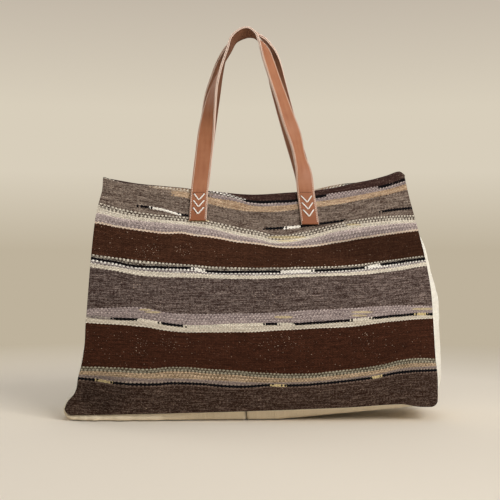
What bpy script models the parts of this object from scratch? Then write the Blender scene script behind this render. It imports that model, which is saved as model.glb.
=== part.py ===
"""Carpet bag: a wide kilim tote with a canvas gusset and two leather handles.

Frame: X to the right along the bag, Y from front to back, Z up. The origin is on the
floor under the middle of the bag. All lengths are in metres.
"""
import math

import bmesh
import bpy
from mathutils import Vector

# Body of the bag, measured on the outer face of the cloth
LEFT_REACH = 0.2742
RIGHT_REACH = 0.2775
RIM_HEIGHT = 0.3375
BASE_DEPTH = 0.150
BELLY = 0.013
RIM_OPENING = 0.078
SIDE_PULL = 0.019
PULL_START = 0.15
PULL_SHARPNESS = 4
CORNER_RADIUS = 0.010

# Depth of the bag up its height: (share of the rim height, share of the narrowing still to
# come, share of the belly)
DEPTH_PROFILE = [(0.0, 1.0, 0.0), (0.15, 1.0, 0.7), (0.32, 1.0, 1.0), (0.53, 1.0, 0.4),
                 (0.74, 0.68, 0.0), (0.89, 0.3, 0.0), (1.0, 0.0, 0.0), (1.12, -0.1, 0.0)]

# Outlines: (share of the height, share of the reach) up each side of a panel
LEFT_EDGE = [(0.0, 1.0), (0.03, 0.985), (0.06, 0.951), (0.093, 0.9325), (0.135, 0.925),
             (0.186, 0.907), (0.28, 0.888), (0.367, 0.884), (0.424, 0.879), (0.647, 0.864),
             (0.81, 0.848), (0.89, 0.831), (0.95, 0.813), (1.0, 0.809)]
RIGHT_EDGE = [(0.0, 1.0), (0.1, 0.999), (0.14, 0.995), (0.2, 0.986), (0.4, 0.9745), (0.487, 0.9685),
              (0.617, 0.945), (0.745, 0.911), (0.846, 0.882), (0.94, 0.856), (1.0, 0.8415)]

# Bottom seam: (place across from -1 to 1, height). It sags at the right corner.
SEAM_LINE = [(-1.0, 0.0085), (-0.5, 0.0120), (0.0, 0.0160), (0.53, 0.0217), (0.80, 0.0258),
             (0.90, 0.0215), (1.0, 0.0210)]

# Rim line: (place across from -1 to 1, rise above the middle of the rim)
FRONT_RIM = [(-1.0, 0.0265), (-0.86, 0.0175), (-0.6, 0.012), (-0.3, 0.006), (0.0, 0.0),
             (0.25, 0.003), (0.42, 0.0065), (0.6, 0.0112), (0.73, 0.0183), (0.86, 0.025),
             (0.965, 0.0348), (1.0, 0.0305)]
BACK_RIM = [(-1.0, 0.029), (-0.6, 0.014), (-0.3, 0.005), (0.0, 0.0), (0.25, 0.006),
            (0.45, 0.016), (0.6, 0.021), (0.83, 0.026), (1.0, 0.031)]

# Cloth
KILIM_THICKNESS = 0.0024
STRIPE_RELIEF = 0.0003
HEM_DEPTH = 0.024
CANVAS_THICKNESS = 0.0014
LINING_THICKNESS = 0.0008
GUSSET_INSET = 0.0022
SEAM_GAP = 0.0006
CLEARANCE = 0.0003
LINING_CLEARANCE = 0.0008
LINING_TOP = 0.975
LINING_INSET = 0.0065

CLOTH_DEPTH = KILIM_THICKNESS + STRIPE_RELIEF

# Hem: the rim is folded inward over the edge of the lining
FOLD_RADIUS = (CLOTH_DEPTH + LINING_THICKNESS + 2 * LINING_CLEARANCE) / 2
FOLD_REACH = FOLD_RADIUS + KILIM_THICKNESS / 2
HEM_INSET = 0.016

# Gusset: how far it stands out from the side seams, folds in at the top and lifts at the right.
# The profiles are (share of the height, share of the amount).
SIDE_SWELL_LEFT = 0.010
SIDE_SWELL_RIGHT = 0.020
TOP_FOLD = 0.036
BASE_FLAT = 0.66
BASE_LIFT_RIGHT = 0.0215
BASE_LIFT_START = 0.12
GUSSET_SEAM_X = -0.006
GUSSET_TOP = 0.97
LEFT_SWELL = [(0.0, 1.0), (0.2, 1.0), (0.43, 0.75), (0.52, 0.6), (0.62, 0.3), (0.72, 0.0), (1.0, 0.0)]
RIGHT_SWELL = [(0.0, 0.6), (0.07, 0.73), (0.14, 0.85), (0.29, 1.0), (0.43, 0.93), (0.5, 0.88),
               (0.62, 0.66), (0.7, 0.5), (0.78, 0.25), (0.88, 0.0), (1.0, 0.0)]
FOLD_PROFILE = [(0.0, 0.0), (0.66, 0.0), (0.78, 0.22), (0.9, 0.72), (1.0, 1.0)]

# Handles
STRAP_WIDTH = 0.026
LEATHER_THICKNESS = 0.0016
STRAP_ROOT_RISE = 0.003
STRAP_ROOT_HEIGHT = RIM_HEIGHT + STRAP_ROOT_RISE
SEWN_LENGTH_LEFT = 0.0445
SEWN_LENGTH_RIGHT = 0.050
SEWN_LEAN_LEFT = 0.0020
SEWN_LEAN_RIGHT = 0.0060
STRAP_SEAT = 0.0007
STRAP_STACK = STRAP_SEAT + 2 * LEATHER_THICKNESS + CLEARANCE
HINGE_OUTSET = 0.0006
ROOT_GAP = 0.0008

# Lacing: three chevrons of cord on each sewn end
CORD_DIAMETER = 0.0016
LACE_HOLE_DIAMETER = 0.0023
CHEVRON_COUNT = 3
CHEVRON_DROP_LEFT = 0.0040
CHEVRON_DROP_RIGHT = 0.0075
CHEVRON_PITCH = 0.0107
CHEVRON_WIDTH = 0.0158
CHEVRON_HEIGHT = 0.0092
CORD_TURN = 0.14
CORD_SINK = 0.00072

# Handle routes from the left root to the right one:
# (x, height above the roots, twist in degrees). At no twist the strap lies flat against
# the bag, and at 90 its width points from front to back.
FRONT_ROUTE = [(-0.0762, 0.0, 0), (-0.0724, 0.034, 0), (-0.0685, 0.067, 4), (-0.0655, 0.090, 16),
               (-0.0620, 0.112, 34), (-0.0590, 0.129, 46), (-0.0560, 0.145, 57),
               (-0.0515, 0.162, 71), (-0.0460, 0.178, 81), (-0.0390, 0.197, 89),
               (-0.0300, 0.217, 99), (-0.0225, 0.2340, 109),
               (-0.0060, 0.2435, 117), (0.0060, 0.2395, 97), (0.0114, 0.2325, 84), (0.0160, 0.2265, 72),
               (0.0203, 0.2180, 60), (0.0255, 0.2030, 52), (0.0355, 0.1725, 49),
               (0.0462, 0.1420, 46), (0.0566, 0.1110, 38), (0.0622, 0.0960, 34),
               (0.0668, 0.0810, 39), (0.0702, 0.0654, 46), (0.0742, 0.0480, 44),
               (0.0784, 0.0348, 31), (0.0815, 0.0195, 12), (0.0838, 0.0, 0)]
BACK_ROUTE = [(-0.0798, 0.0, 0), (-0.0758, 0.030, 0), (-0.0712, 0.069, 4), (-0.0645, 0.114, 14),
              (-0.0590, 0.148, 24), (-0.0515, 0.178, 50), (-0.0435, 0.205, 68),
              (-0.0330, 0.228, 90), (-0.0190, 0.2435, 108), (-0.0010, 0.2490, 117),
              (0.0160, 0.2430, 95), (0.0270, 0.2270, 66), (0.0345, 0.2080, 40),
              (0.0418, 0.1780, 14), (0.0550, 0.1300, 2), (0.0678, 0.0860, 0),
              (0.0783, 0.0510, 0), (0.0850, 0.0250, 0), (0.0885, 0.0, 0)]
APEX_SETBACK = 0.0150

# Colours as linear RGB
DARK_BROWN = (0.045, 0.018, 0.012)
HEATHER = (0.105, 0.073, 0.058)
WARM_GREY = (0.155, 0.118, 0.090)
LILAC = (0.360, 0.300, 0.320)
CREAM = (0.660, 0.590, 0.480)
TAN = (0.560, 0.360, 0.200)
GREY_GREEN = (0.190, 0.190, 0.145)
BLACK = (0.012, 0.011, 0.014)
CANVAS = (0.780, 0.730, 0.630)
COTTON = (0.730, 0.670, 0.560)
LEATHER = (0.420, 0.165, 0.075)
LEATHER_BACK = (0.360, 0.190, 0.110)
WHITE_CORD = (0.860, 0.840, 0.790)

WOOL_ROUGHNESS = 0.95
COTTON_ROUGHNESS = 0.9
LEATHER_ROUGHNESS = 0.5
SOFT_ROUGHNESS = 0.8

# Stripes from the rim down: colour, then where each one ends as a share of the panel's
# height at five places from the left edge to the right
STRIPES = [
    (DARK_BROWN, (0.994, 0.991, 0.967, 0.960, 0.969)),
    (LILAC, (0.987, 0.986, 0.951, 0.946, 0.954)),
    (TAN, (0.975, 0.962, 0.923, 0.921, 0.929)),
    (WARM_GREY, (0.884, 0.876, 0.835, 0.833, 0.816)),
    (GREY_GREEN, (0.868, 0.856, 0.817, 0.815, 0.799)),
    (LILAC, (0.803, 0.792, 0.775, 0.751, 0.754)),
    (DARK_BROWN, (0.666, 0.656, 0.658, 0.642, 0.637)),
    (BLACK, (0.645, 0.634, 0.638, 0.625, 0.623)),
    (CREAM, (0.612, 0.605, 0.610, 0.600, 0.593)),
    (HEATHER, (0.438, 0.441, 0.450, 0.449, 0.416)),
    (LILAC, (0.399, 0.390, 0.399, 0.392, 0.381)),
    (CREAM, (0.378, 0.359, 0.366, 0.364, 0.362)),
    (DARK_BROWN, (0.196, 0.197, 0.182, 0.169, 0.187)),
    (GREY_GREEN, (0.179, 0.173, 0.159, 0.153, 0.170)),
    (TAN, (0.162, 0.151, 0.134, 0.132, 0.150)),
    (LILAC, (0.152, 0.133, 0.120, 0.123, 0.137)),
    (BLACK, (0.143, 0.122, 0.111, 0.112, 0.127)),
    (HEATHER, (0.0, 0.0, 0.0, 0.0, 0.0)),
]
STRIPE_STATIONS = (-1.0, -0.5, 0.0, 0.5, 1.0)
TALL_STRIPE = 0.06

# How finely the cloth and straps are divided
PANEL_COLUMNS = 16
CORNER_COLUMNS = 3
FOLD_STEPS = 4
HEM_STEPS = 2
GUSSET_WIDTHS = (0.0, 0.33, 0.66, 0.86, 1.0)
GUSSET_BASE_ROWS = 8
GUSSET_CORNER_ROWS = 3
GUSSET_SIDE_ROWS = 12
LINING_COLUMNS = 16
LINING_ROWS = 16
STRAP_COLUMNS = 2
STRAP_ROWS = 48
SEWN_ROWS = 5
LACE_HOLE_SIDES = 8
SLOPE_STEP = 0.02
MEASURE_STEP = 0.0005
SHARP_ANGLE = 40

FRONT = -1.0
BACK = 1.0


def clear_scene():
    """Empty the scene so that the script can be run again."""
    for item in list(bpy.data.objects):
        bpy.data.objects.remove(item, do_unlink=True)


def make_collection(name):
    """Link a new collection to the scene."""
    collection = bpy.data.collections.new(name)
    bpy.context.scene.collection.children.link(collection)
    return collection


def make_material(name, colour, roughness):
    """Plain surface of one colour."""
    material = bpy.data.materials.new(name)
    material.use_nodes = True
    shader = material.node_tree.nodes["Principled BSDF"]
    shader.inputs["Base Color"].default_value = (*colour, 1.0)
    shader.inputs["Roughness"].default_value = roughness
    shader.inputs["Metallic"].default_value = 0.0
    material.diffuse_color = (*colour, 1.0)
    return material


def through(points, place, column=1):
    """Smooth curve through rows that are sorted by their first number, read at a place."""
    if place <= points[0][0]:
        return points[0][column]
    if place >= points[-1][0]:
        return points[-1][column]
    last = len(points) - 1
    step = max(i for i in range(last) if points[i][0] <= place)
    start, end = points[step], points[step + 1]
    span = end[0] - start[0]

    def slope(i):
        low, high = max(i - 1, 0), min(i + 1, last)
        return (points[high][column] - points[low][column]) / (points[high][0] - points[low][0])

    t = (place - start[0]) / span
    rise = end[column] - start[column]
    first, second = slope(step) * span, slope(step + 1) * span
    return (start[column] + first * t + (3 * rise - 2 * first - second) * t * t
            + (first + second - 2 * rise) * t * t * t)


def evenly(start, end, count):
    """Numbers from start to end in equal steps."""
    return [start + (end - start) * i / count for i in range(count + 1)]


def reach(side_share):
    """Half width of the bag on the side that a place across lies on."""
    return RIGHT_REACH if side_share > 0 else LEFT_REACH


def seam_height(across):
    """Height of the bottom seam, rounded up into the side seam at each corner."""
    width = reach(across)
    x = across * width
    overhang = max(0.0, abs(x) - (width - CORNER_RADIUS))
    return through(SEAM_LINE, across) + CORNER_RADIUS - math.sqrt(max(0.0, CORNER_RADIUS ** 2 - overhang ** 2))


def rim_height(side, across):
    """Height of the rim of one panel."""
    return RIM_HEIGHT + through(FRONT_RIM if side == FRONT else BACK_RIM, across)


def outline(side, across, up, inset=0.0):
    """Place (x, z) on a panel: across -1 to 1, up 0 to 1 from the bottom seam to the rim."""
    taper = through(RIGHT_EDGE if across > 0 else LEFT_EDGE, up)
    x = across * (reach(across) * taper - inset)
    low = seam_height(across) + inset
    return x, low + (rim_height(side, across) - FOLD_REACH - low) * up


def cloth_depth(x, z):
    """Distance of the outer face of a panel from the middle plane of the bag."""
    share = z / RIM_HEIGHT
    narrowing = (BASE_DEPTH - RIM_OPENING) / 2 * through(DEPTH_PROFILE, share, 1)
    belly = BELLY * through(DEPTH_PROFILE, share, 2)
    toward_edge = min(1.0, abs(x) / reach(x)) ** PULL_SHARPNESS
    pull = SIDE_PULL * math.sin(math.pi * min(1.0, PULL_START + share * (1 - PULL_START)))
    return RIM_OPENING / 2 + narrowing + belly - pull * toward_edge


def cloth_point(side, x, z, offset=0.0):
    """Point on a panel's outer face, moved out along the face's normal."""
    step = MEASURE_STEP
    slope_x = (cloth_depth(x + step, z) - cloth_depth(x - step, z)) / (2 * step)
    slope_z = (cloth_depth(x, z + step) - cloth_depth(x, z - step)) / (2 * step)
    normal = Vector((-slope_x, 1.0, -slope_z)).normalized()
    point = Vector((x, cloth_depth(x, z), z)) + normal * offset
    return Vector((point.x, side * point.y, point.z))


def finish_object(name, mesh, materials, collection):
    """Turn a mesh into a smooth shaded object of the part."""
    for material in materials:
        mesh.materials.append(material)
    mesh.shade_smooth()
    mesh.set_sharp_from_angle(angle=math.radians(SHARP_ANGLE))
    item = bpy.data.objects.new(name, mesh)
    collection.objects.link(item)
    return item


def make_sheet(name, columns, rows, place, thickness, materials, collection, row_materials=None):
    """Sheet of even thickness whose middle surface is place(column, row)."""
    grid = bmesh.new()
    wide, high = len(columns) - 1, len(rows) - 1
    bmesh.ops.create_grid(grid, x_segments=wide, y_segments=high, size=0.5)
    row_numbers = {vertex: round((vertex.co.y + 0.5) * high) for vertex in grid.verts}
    if row_materials:
        for face in grid.faces:
            face.material_index = row_materials[min(row_numbers[v] for v in face.verts)]
    for vertex, row in row_numbers.items():
        column = round((vertex.co.x + 0.5) * wide)
        vertex.co = place(columns[column], rows[row])
    mesh = bpy.data.meshes.new(name)
    grid.to_mesh(mesh)
    grid.free()
    item = finish_object(name, mesh, materials, collection)
    solid = item.modifiers.new("Thickness", "SOLIDIFY")
    solid.thickness = thickness
    solid.offset = 0.0
    solid.use_even_offset = False
    return item


def panel_columns():
    """Places across a panel, closer together round its bottom corners."""
    left = 1 - CORNER_RADIUS / LEFT_REACH
    right = 1 - CORNER_RADIUS / RIGHT_REACH
    turns = [math.sin(math.pi / 2 * i / CORNER_COLUMNS) for i in range(1, CORNER_COLUMNS + 1)]
    return ([-left - (1 - left) * turn for turn in reversed(turns)]
            + evenly(-left, right, PANEL_COLUMNS)
            + [right + (1 - right) * turn for turn in turns])


def stripe_edge(number, across):
    """Share of the panel's height at which a stripe ends, or where the first one starts."""
    if number < 0:
        return 1.0
    return through(list(zip(STRIPE_STATIONS, STRIPES[number][1])), across)


def panel_rows():
    """Rows of a panel from the bottom seam up, over the fold at the rim and down the hem.

    Each row is (kind, stripe, amount). The second list holds the stripe of each strip of cloth.
    """
    rows, stripes = [], []
    for number in reversed(range(len(STRIPES))):
        height = stripe_edge(number - 1, 0.0) - stripe_edge(number, 0.0)
        parts = max(1, round(height / TALL_STRIPE))
        rows += [("cloth", number, share) for share in evenly(0.0, 1.0, parts)[:-1]]
        stripes += [number] * parts
    rows += [("turn", 0, math.pi * i / FOLD_STEPS) for i in range(FOLD_STEPS)]
    rows += [("flap", 0, drop) for drop in evenly(0.0, HEM_DEPTH, HEM_STEPS)]
    stripes += [0] * (len(rows) - 1 - len(stripes))
    return rows, stripes


def panel_place(side, across, row):
    """Point on the middle surface of a kilim panel."""
    kind, stripe, amount = row
    mirrored = across if side == FRONT else -across
    if kind == "cloth":
        low, high = stripe_edge(stripe, mirrored), stripe_edge(stripe - 1, mirrored)
        x, z = outline(side, across, low + (high - low) * amount)
        sunk = STRIPE_RELIEF if stripe % 2 else 0.0
        return cloth_point(side, x, z, -sunk - KILIM_THICKNESS / 2)
    turned = (1 - math.cos(amount)) / 2 if kind == "turn" else 1.0
    x, z = outline(side, across, 1.0)
    x -= math.copysign(HEM_INSET, across) * turned ** 3 * across * across
    deep = KILIM_THICKNESS / 2 + 2 * FOLD_RADIUS * turned
    if kind == "turn":
        point = cloth_point(side, x, z, -deep)
        return point + Vector((0.0, 0.0, FOLD_RADIUS * math.sin(amount)))
    return cloth_point(side, x, z - amount, -deep)


def make_panel(name, side, materials, collection):
    """Striped kilim panel with its rim folded to the inside."""
    rows, stripes = panel_rows()
    return make_sheet(name, panel_columns(), rows, lambda across, row: panel_place(side, across, row),
                      KILIM_THICKNESS, materials, collection, stripes)


def make_lining(name, side, material, collection):
    """Cotton lining of one panel, tucked under its hem."""
    deep = CLOTH_DEPTH + LINING_CLEARANCE + LINING_THICKNESS / 2

    def place(across, up):
        x, z = outline(side, across, up * LINING_TOP, LINING_INSET)
        return cloth_point(side, x, z, -deep)

    return make_sheet(name, evenly(-1.0, 1.0, LINING_COLUMNS), evenly(0.0, 1.0, LINING_ROWS), place,
                      LINING_THICKNESS, [material], collection)


def gusset_path(direction):
    """Rows of a gusset half from the base up to the rim, as (across, up, share of the corner)."""
    start = (direction * GUSSET_SEAM_X + CLEARANCE) / reach(direction)
    edge = 1 - CORNER_RADIUS / reach(direction)
    base = [(direction * across, 0.0, 0.0) for across in evenly(start, edge, GUSSET_BASE_ROWS)]
    corner = []
    for share in evenly(0.0, 1.0, GUSSET_CORNER_ROWS)[1:]:
        across = edge + (1 - edge) * math.sin(math.pi / 2 * share)
        corner.append((direction * across, 0.0, share))
    side = [(direction, up, 1.0) for up in evenly(0.0, GUSSET_TOP, GUSSET_SIDE_ROWS)[1:]]
    return base + corner + side


def base_lift(x):
    """Height of the underside above the floor: the right end stays a little raised."""
    share = max(0.0, x / RIGHT_REACH - BASE_LIFT_START) / (1 - BASE_LIFT_START)
    return BASE_LIFT_RIGHT * share


def gusset_swell(direction, row, x, z):
    """How far the gusset stands out from its two seams at the middle of its width."""
    _, up, corner = row
    if direction > 0:
        swell = SIDE_SWELL_RIGHT * through(RIGHT_SWELL, up)
    else:
        swell = SIDE_SWELL_LEFT * through(LEFT_SWELL, up)
    side = swell - TOP_FOLD * through(FOLD_PROFILE, up)
    below = z - base_lift(x) - CANVAS_THICKNESS / 2
    return below + (side - below) * corner


def gusset_shape(row, width_share):
    """Form across the gusset: flat on the floor, rounded at the sides, folded in at the top."""
    _, up, corner = row
    away = abs(width_share)
    edge = max(0.0, away - BASE_FLAT) / (1 - BASE_FLAT)
    flat = 1 - edge * edge
    folded = through(FOLD_PROFILE, up)
    rounded = (1 - away * away) * (1 - folded) + (1 - away) * folded
    return flat + (rounded - flat) * corner


def gusset_surface(direction, path, index, width_share):
    """Seam place, outward direction, half depth and stand of the canvas at a place on it."""
    def seam(number):
        across, up, _ = path[number]
        return outline(FRONT, across, up, GUSSET_INSET)

    before, after = max(0, index - 1), min(len(path) - 1, index + 1)
    (x, z), (x0, z0), (x1, z1) = seam(index), seam(before), seam(after)
    along = Vector((x1 - x0, z1 - z0))
    out = Vector((along.y, -along.x)).normalized() * direction
    depth = cloth_point(BACK, x, z, -CLOTH_DEPTH - SEAM_GAP - CANVAS_THICKNESS / 2).y
    swell = gusset_swell(direction, path[index], x, z)
    shape = gusset_shape(path[index], width_share)
    beside = gusset_shape(path[index], abs(width_share) + SLOPE_STEP)
    cross_slope = swell * (beside - shape) / (SLOPE_STEP * depth)
    rise = (gusset_swell(direction, path[after], x1, z1) - gusset_swell(direction, path[before], x0, z0))
    tilt = math.hypot(1.0, cross_slope, shape * rise / along.length)
    return Vector((x, z)), out, depth, swell * shape, tilt


def make_gusset(name, direction, material, collection):
    """Half of the canvas gusset: half of the base and one end of the bag."""
    path = gusset_path(direction)

    def place(width_share, index):
        seam, out, depth, stand, _ = gusset_surface(direction, path, index, width_share)
        point = seam + out * stand
        return Vector((point.x, depth * width_share, point.y))

    return make_sheet(name, gusset_widths(direction), range(len(path)), place, CANVAS_THICKNESS,
                      [material], collection)


def make_gusset_lining(name, direction, material, collection):
    """Cotton lining inside one half of the gusset."""
    path = gusset_path(direction)
    narrower = 2 * (LINING_CLEARANCE + LINING_THICKNESS) - SEAM_GAP
    inward = CANVAS_THICKNESS / 2 + LINING_CLEARANCE + LINING_THICKNESS / 2

    def place(width_share, index):
        depth = gusset_surface(direction, path, index, width_share)[2]
        share = width_share * (1 - narrower / depth)
        seam, out, depth, stand, tilt = gusset_surface(direction, path, index, share)
        point = seam + out * (stand - inward * tilt)
        return Vector((point.x, depth * share, point.y))

    return make_sheet(name, gusset_widths(direction), range(len(path)), place, LINING_THICKNESS,
                      [material], collection)


def gusset_widths(direction):
    """Places across a gusset from front to back, ordered so that it faces out."""
    shares = [-share for share in GUSSET_WIDTHS[:0:-1]] + list(GUSSET_WIDTHS)
    return [direction * share for share in shares]


def hinge_point(side, route):
    """Middle of the line that a handle swings about, just outside its roots."""
    x = (route[0][0] + route[-1][0]) / 2
    outer = cloth_point(side, route[0][0], STRAP_ROOT_HEIGHT, STRAP_STACK)
    return Vector((x, outer.y + side * HINGE_OUTSET, STRAP_ROOT_HEIGHT))


def route_lengths(route):
    """Route rows again, each led by its distance along the handle."""
    rows, run = [(0.0, *route[0])], 0.0
    for before, after in zip(route, route[1:]):
        run += math.hypot(after[0] - before[0], after[1] - before[1])
        rows.append((run, *after))
    return rows


def handle_frame(side, rows, distance):
    """Point, width direction and outward direction of a handle at a distance along it."""
    def point(at):
        at = max(0.0, min(rows[-1][0], at))
        x, height = through(rows, at, 1), through(rows, at, 2)
        apex = max(row[2] for row in rows)
        root = cloth_depth(x, STRAP_ROOT_HEIGHT)
        depth = root + (APEX_SETBACK - root) * height / apex
        return Vector((x, side * depth, STRAP_ROOT_HEIGHT + height))

    ahead = (point(distance + MEASURE_STEP) - point(distance - MEASURE_STEP)).normalized()
    inward = Vector((ahead.z, 0.0, -ahead.x)).normalized()
    outward = Vector((0.0, side, 0.0))
    outward = (outward - ahead * outward.dot(ahead)).normalized()
    twist = math.radians(through(rows, distance, 3))
    width = inward * math.cos(twist) + outward * math.sin(twist)
    face = (outward * math.cos(twist) - inward * math.sin(twist)).normalized()
    return point(distance), ahead, width.normalized(), face


def make_loop(name, side, route, offset, material, hinge, collection):
    """One leather layer of a handle, from root to root."""
    rows = route_lengths(route)
    stations = evenly(0.0, rows[-1][0], STRAP_ROWS)
    level = STRAP_ROOT_HEIGHT + ROOT_GAP / 2

    def place(share, distance):
        middle, ahead, width, face = handle_frame(side, rows, distance)
        point = middle + width * (share * STRAP_WIDTH / 2) + face * offset
        if distance in (stations[0], stations[-1]):
            point += ahead * ((level - point.z) / ahead.z)
        return point

    strap = make_sheet(name, evenly(-1.0, 1.0, STRAP_COLUMNS), stations, place,
                       LEATHER_THICKNESS, [material], collection)
    strap.parent = hinge
    strap.location = -hinge.location
    return strap


def sewn_place(side, root_x, lean, length, across, down, offset):
    """Point on a sewn strap end: across it in metres, down it from 0 to 1."""
    x = root_x + lean * down + across
    z = STRAP_ROOT_HEIGHT - ROOT_GAP / 2 - (length - ROOT_GAP / 2) * down
    return cloth_point(side, x, z, offset)


def make_sewn_end(name, side, end, offset, material, collection):
    """One leather layer of a strap where it is sewn to a panel."""
    root_x, lean, length, _ = end

    def place(share, down):
        point = sewn_place(side, root_x, lean, length, share * STRAP_WIDTH / 2, down, offset)
        if down == 0.0:
            point.z = STRAP_ROOT_HEIGHT - ROOT_GAP / 2
        return point

    return make_sheet(name, evenly(-1.0, 1.0, STRAP_COLUMNS), evenly(0.0, 1.0, SEWN_ROWS), place,
                      LEATHER_THICKNESS, [material], collection)


def chevron_points(end, number):
    """The two tops and the foot of one chevron, as (across, drop from the root)."""
    top = end[3] + CHEVRON_PITCH * number
    half = CHEVRON_WIDTH / 2
    return (-half, top), (0.0, top + CHEVRON_HEIGHT), (half, top)


def face_point(side, end, across, drop, offset):
    """Point over a sewn strap end at a drop from its root."""
    root_x, lean, length, _ = end
    return sewn_place(side, root_x, lean, length, across, drop / length, offset)


def cut_lace_holes(strap, side, end, cutters):
    """Punch the holes that the cord goes into."""
    holes = bmesh.new()
    for number in range(CHEVRON_COUNT):
        left, _, right = chevron_points(end, number)
        for across, drop in (left, right):
            near = face_point(side, end, across, drop, 0.0)
            far = face_point(side, end, across, drop, 2 * STRAP_STACK)
            turn = (far - near).to_track_quat("Z", "Y").to_matrix().to_4x4()
            turn.translation = (near + far) / 2
            bmesh.ops.create_cone(holes, cap_ends=True, segments=LACE_HOLE_SIDES,
                                  radius1=LACE_HOLE_DIAMETER / 2, radius2=LACE_HOLE_DIAMETER / 2,
                                  depth=2 * STRAP_STACK, matrix=turn)
    mesh = bpy.data.meshes.new(strap.name + "_holes")
    holes.to_mesh(mesh)
    holes.free()
    cutter = bpy.data.objects.new(mesh.name, mesh)
    cutter.hide_render = True
    cutter.display_type = "WIRE"
    cutters.objects.link(cutter)
    cut = strap.modifiers.new("Lace holes", "BOOLEAN")
    cut.operation = "DIFFERENCE"
    cut.object = cutter


def make_chevron(name, side, end, number, material, collection):
    """One V of cord that lies on the strap and goes in through a hole at each top."""
    left, foot, right = chevron_points(end, number)
    inside = STRAP_STACK - LEATHER_THICKNESS + CLEARANCE
    lying = STRAP_STACK + CORD_DIAMETER / 2 + CLEARANCE

    def arm(top):
        near = [top[i] + (foot[i] - top[i]) * CORD_TURN for i in (0, 1)]
        return [(*top, inside), (*top, lying - CORD_SINK), (*near, lying)]

    stops = arm(left) + [(*foot, lying)] + arm(right)[::-1]
    curve = bpy.data.curves.new(name, "CURVE")
    curve.dimensions = "3D"
    curve.bevel_depth = CORD_DIAMETER / 2
    curve.bevel_resolution = 1
    curve.use_fill_caps = True
    spline = curve.splines.new("POLY")
    spline.points.add(len(stops) - 1)
    for point, (across, drop, offset) in zip(spline.points, stops):
        point.co = (*face_point(side, end, across, drop, offset), 1.0)
    curve.materials.append(material)
    cord = bpy.data.objects.new(name, curve)
    collection.objects.link(cord)
    return cord


def make_handle(label, side, route, materials, collection, cutters):
    """A two-layer leather handle: its loop, its sewn ends and their lacing."""
    hinge = bpy.data.objects.new(label + "_hinge", None)
    hinge.location = hinge_point(side, route)
    collection.objects.link(hinge)
    backing = STRAP_SEAT + LEATHER_THICKNESS / 2
    outer = backing + LEATHER_THICKNESS + CLEARANCE
    make_loop(label + "_outer_strap", side, route, outer, materials["leather"], hinge, collection)
    make_loop(label + "_backing_strap", side, route, backing, materials["leather_back"], hinge, collection)
    ends = {
        "left": (route[0][0], -SEWN_LEAN_LEFT, SEWN_LENGTH_LEFT, CHEVRON_DROP_LEFT),
        "right": (route[-1][0], SEWN_LEAN_RIGHT, SEWN_LENGTH_RIGHT, CHEVRON_DROP_RIGHT),
    }
    for place, end in ends.items():
        name = label + "_" + place
        make_sewn_end(name + "_end_backing", side, end, backing, materials["leather_back"], collection)
        strap = make_sewn_end(name + "_end_outer", side, end, outer, materials["leather"], collection)
        cut_lace_holes(strap, side, end, cutters)
        for number in range(CHEVRON_COUNT):
            make_chevron(f"{name}_chevron_{number + 1}", side, end, number, materials["cord"], collection)


def main():
    """Build the bag."""
    clear_scene()
    bag = make_collection("carpet_bag")
    cutters = make_collection("cutters")
    kilim = [make_material(f"kilim_{i + 1:02}", colour, WOOL_ROUGHNESS)
             for i, (colour, _) in enumerate(STRIPES)]
    canvas = make_material("canvas", CANVAS, COTTON_ROUGHNESS)
    cotton = make_material("lining_cotton", COTTON, COTTON_ROUGHNESS)
    materials = {
        "leather": make_material("leather", LEATHER, LEATHER_ROUGHNESS),
        "leather_back": make_material("leather_back", LEATHER_BACK, SOFT_ROUGHNESS),
        "cord": make_material("lacing_cord", WHITE_CORD, SOFT_ROUGHNESS),
    }
    make_panel("front_panel", FRONT, kilim, bag)
    make_panel("back_panel", BACK, kilim, bag)
    make_gusset("gusset_left", -1.0, canvas, bag)
    make_gusset("gusset_right", 1.0, canvas, bag)
    make_lining("lining_front", FRONT, cotton, bag)
    make_lining("lining_back", BACK, cotton, bag)
    make_gusset_lining("lining_gusset_left", -1.0, cotton, bag)
    make_gusset_lining("lining_gusset_right", 1.0, cotton, bag)
    make_handle("front_handle", FRONT, FRONT_ROUTE, materials, bag, cutters)
    make_handle("back_handle", BACK, BACK_ROUTE, materials, bag, cutters)


main()
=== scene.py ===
"""Looks of the carpet bag: striped kilim wool, canvas, cotton lining and laced leather handles.

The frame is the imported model's: X to the right, Y from front to back, Z up, in metres.
The shape functions repeat the part's own, so every layer lies where its solid does.
"""
import math
from functools import partial

import bpy
import numpy as np
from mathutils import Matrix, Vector, noise


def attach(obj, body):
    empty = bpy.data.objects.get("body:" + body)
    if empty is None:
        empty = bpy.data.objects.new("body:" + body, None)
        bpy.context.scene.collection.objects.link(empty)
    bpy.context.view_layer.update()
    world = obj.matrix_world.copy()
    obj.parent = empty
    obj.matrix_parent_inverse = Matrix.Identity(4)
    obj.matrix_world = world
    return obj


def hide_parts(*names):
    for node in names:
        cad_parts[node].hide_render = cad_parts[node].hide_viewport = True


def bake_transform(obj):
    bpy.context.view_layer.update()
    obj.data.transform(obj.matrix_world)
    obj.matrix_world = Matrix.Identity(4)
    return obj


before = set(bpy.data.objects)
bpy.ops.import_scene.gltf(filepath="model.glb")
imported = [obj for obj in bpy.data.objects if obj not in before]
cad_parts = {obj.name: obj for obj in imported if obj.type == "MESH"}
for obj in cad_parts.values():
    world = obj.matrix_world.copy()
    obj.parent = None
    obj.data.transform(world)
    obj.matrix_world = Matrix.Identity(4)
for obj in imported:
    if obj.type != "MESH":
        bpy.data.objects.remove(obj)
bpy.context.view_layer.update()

# Camera: level, square on to the bag, placed so that the frame matches the photograph
CAMERA_DISTANCE = 1.575
CAMERA_HEIGHT = 0.253
LENS_MM = 73.44

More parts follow.
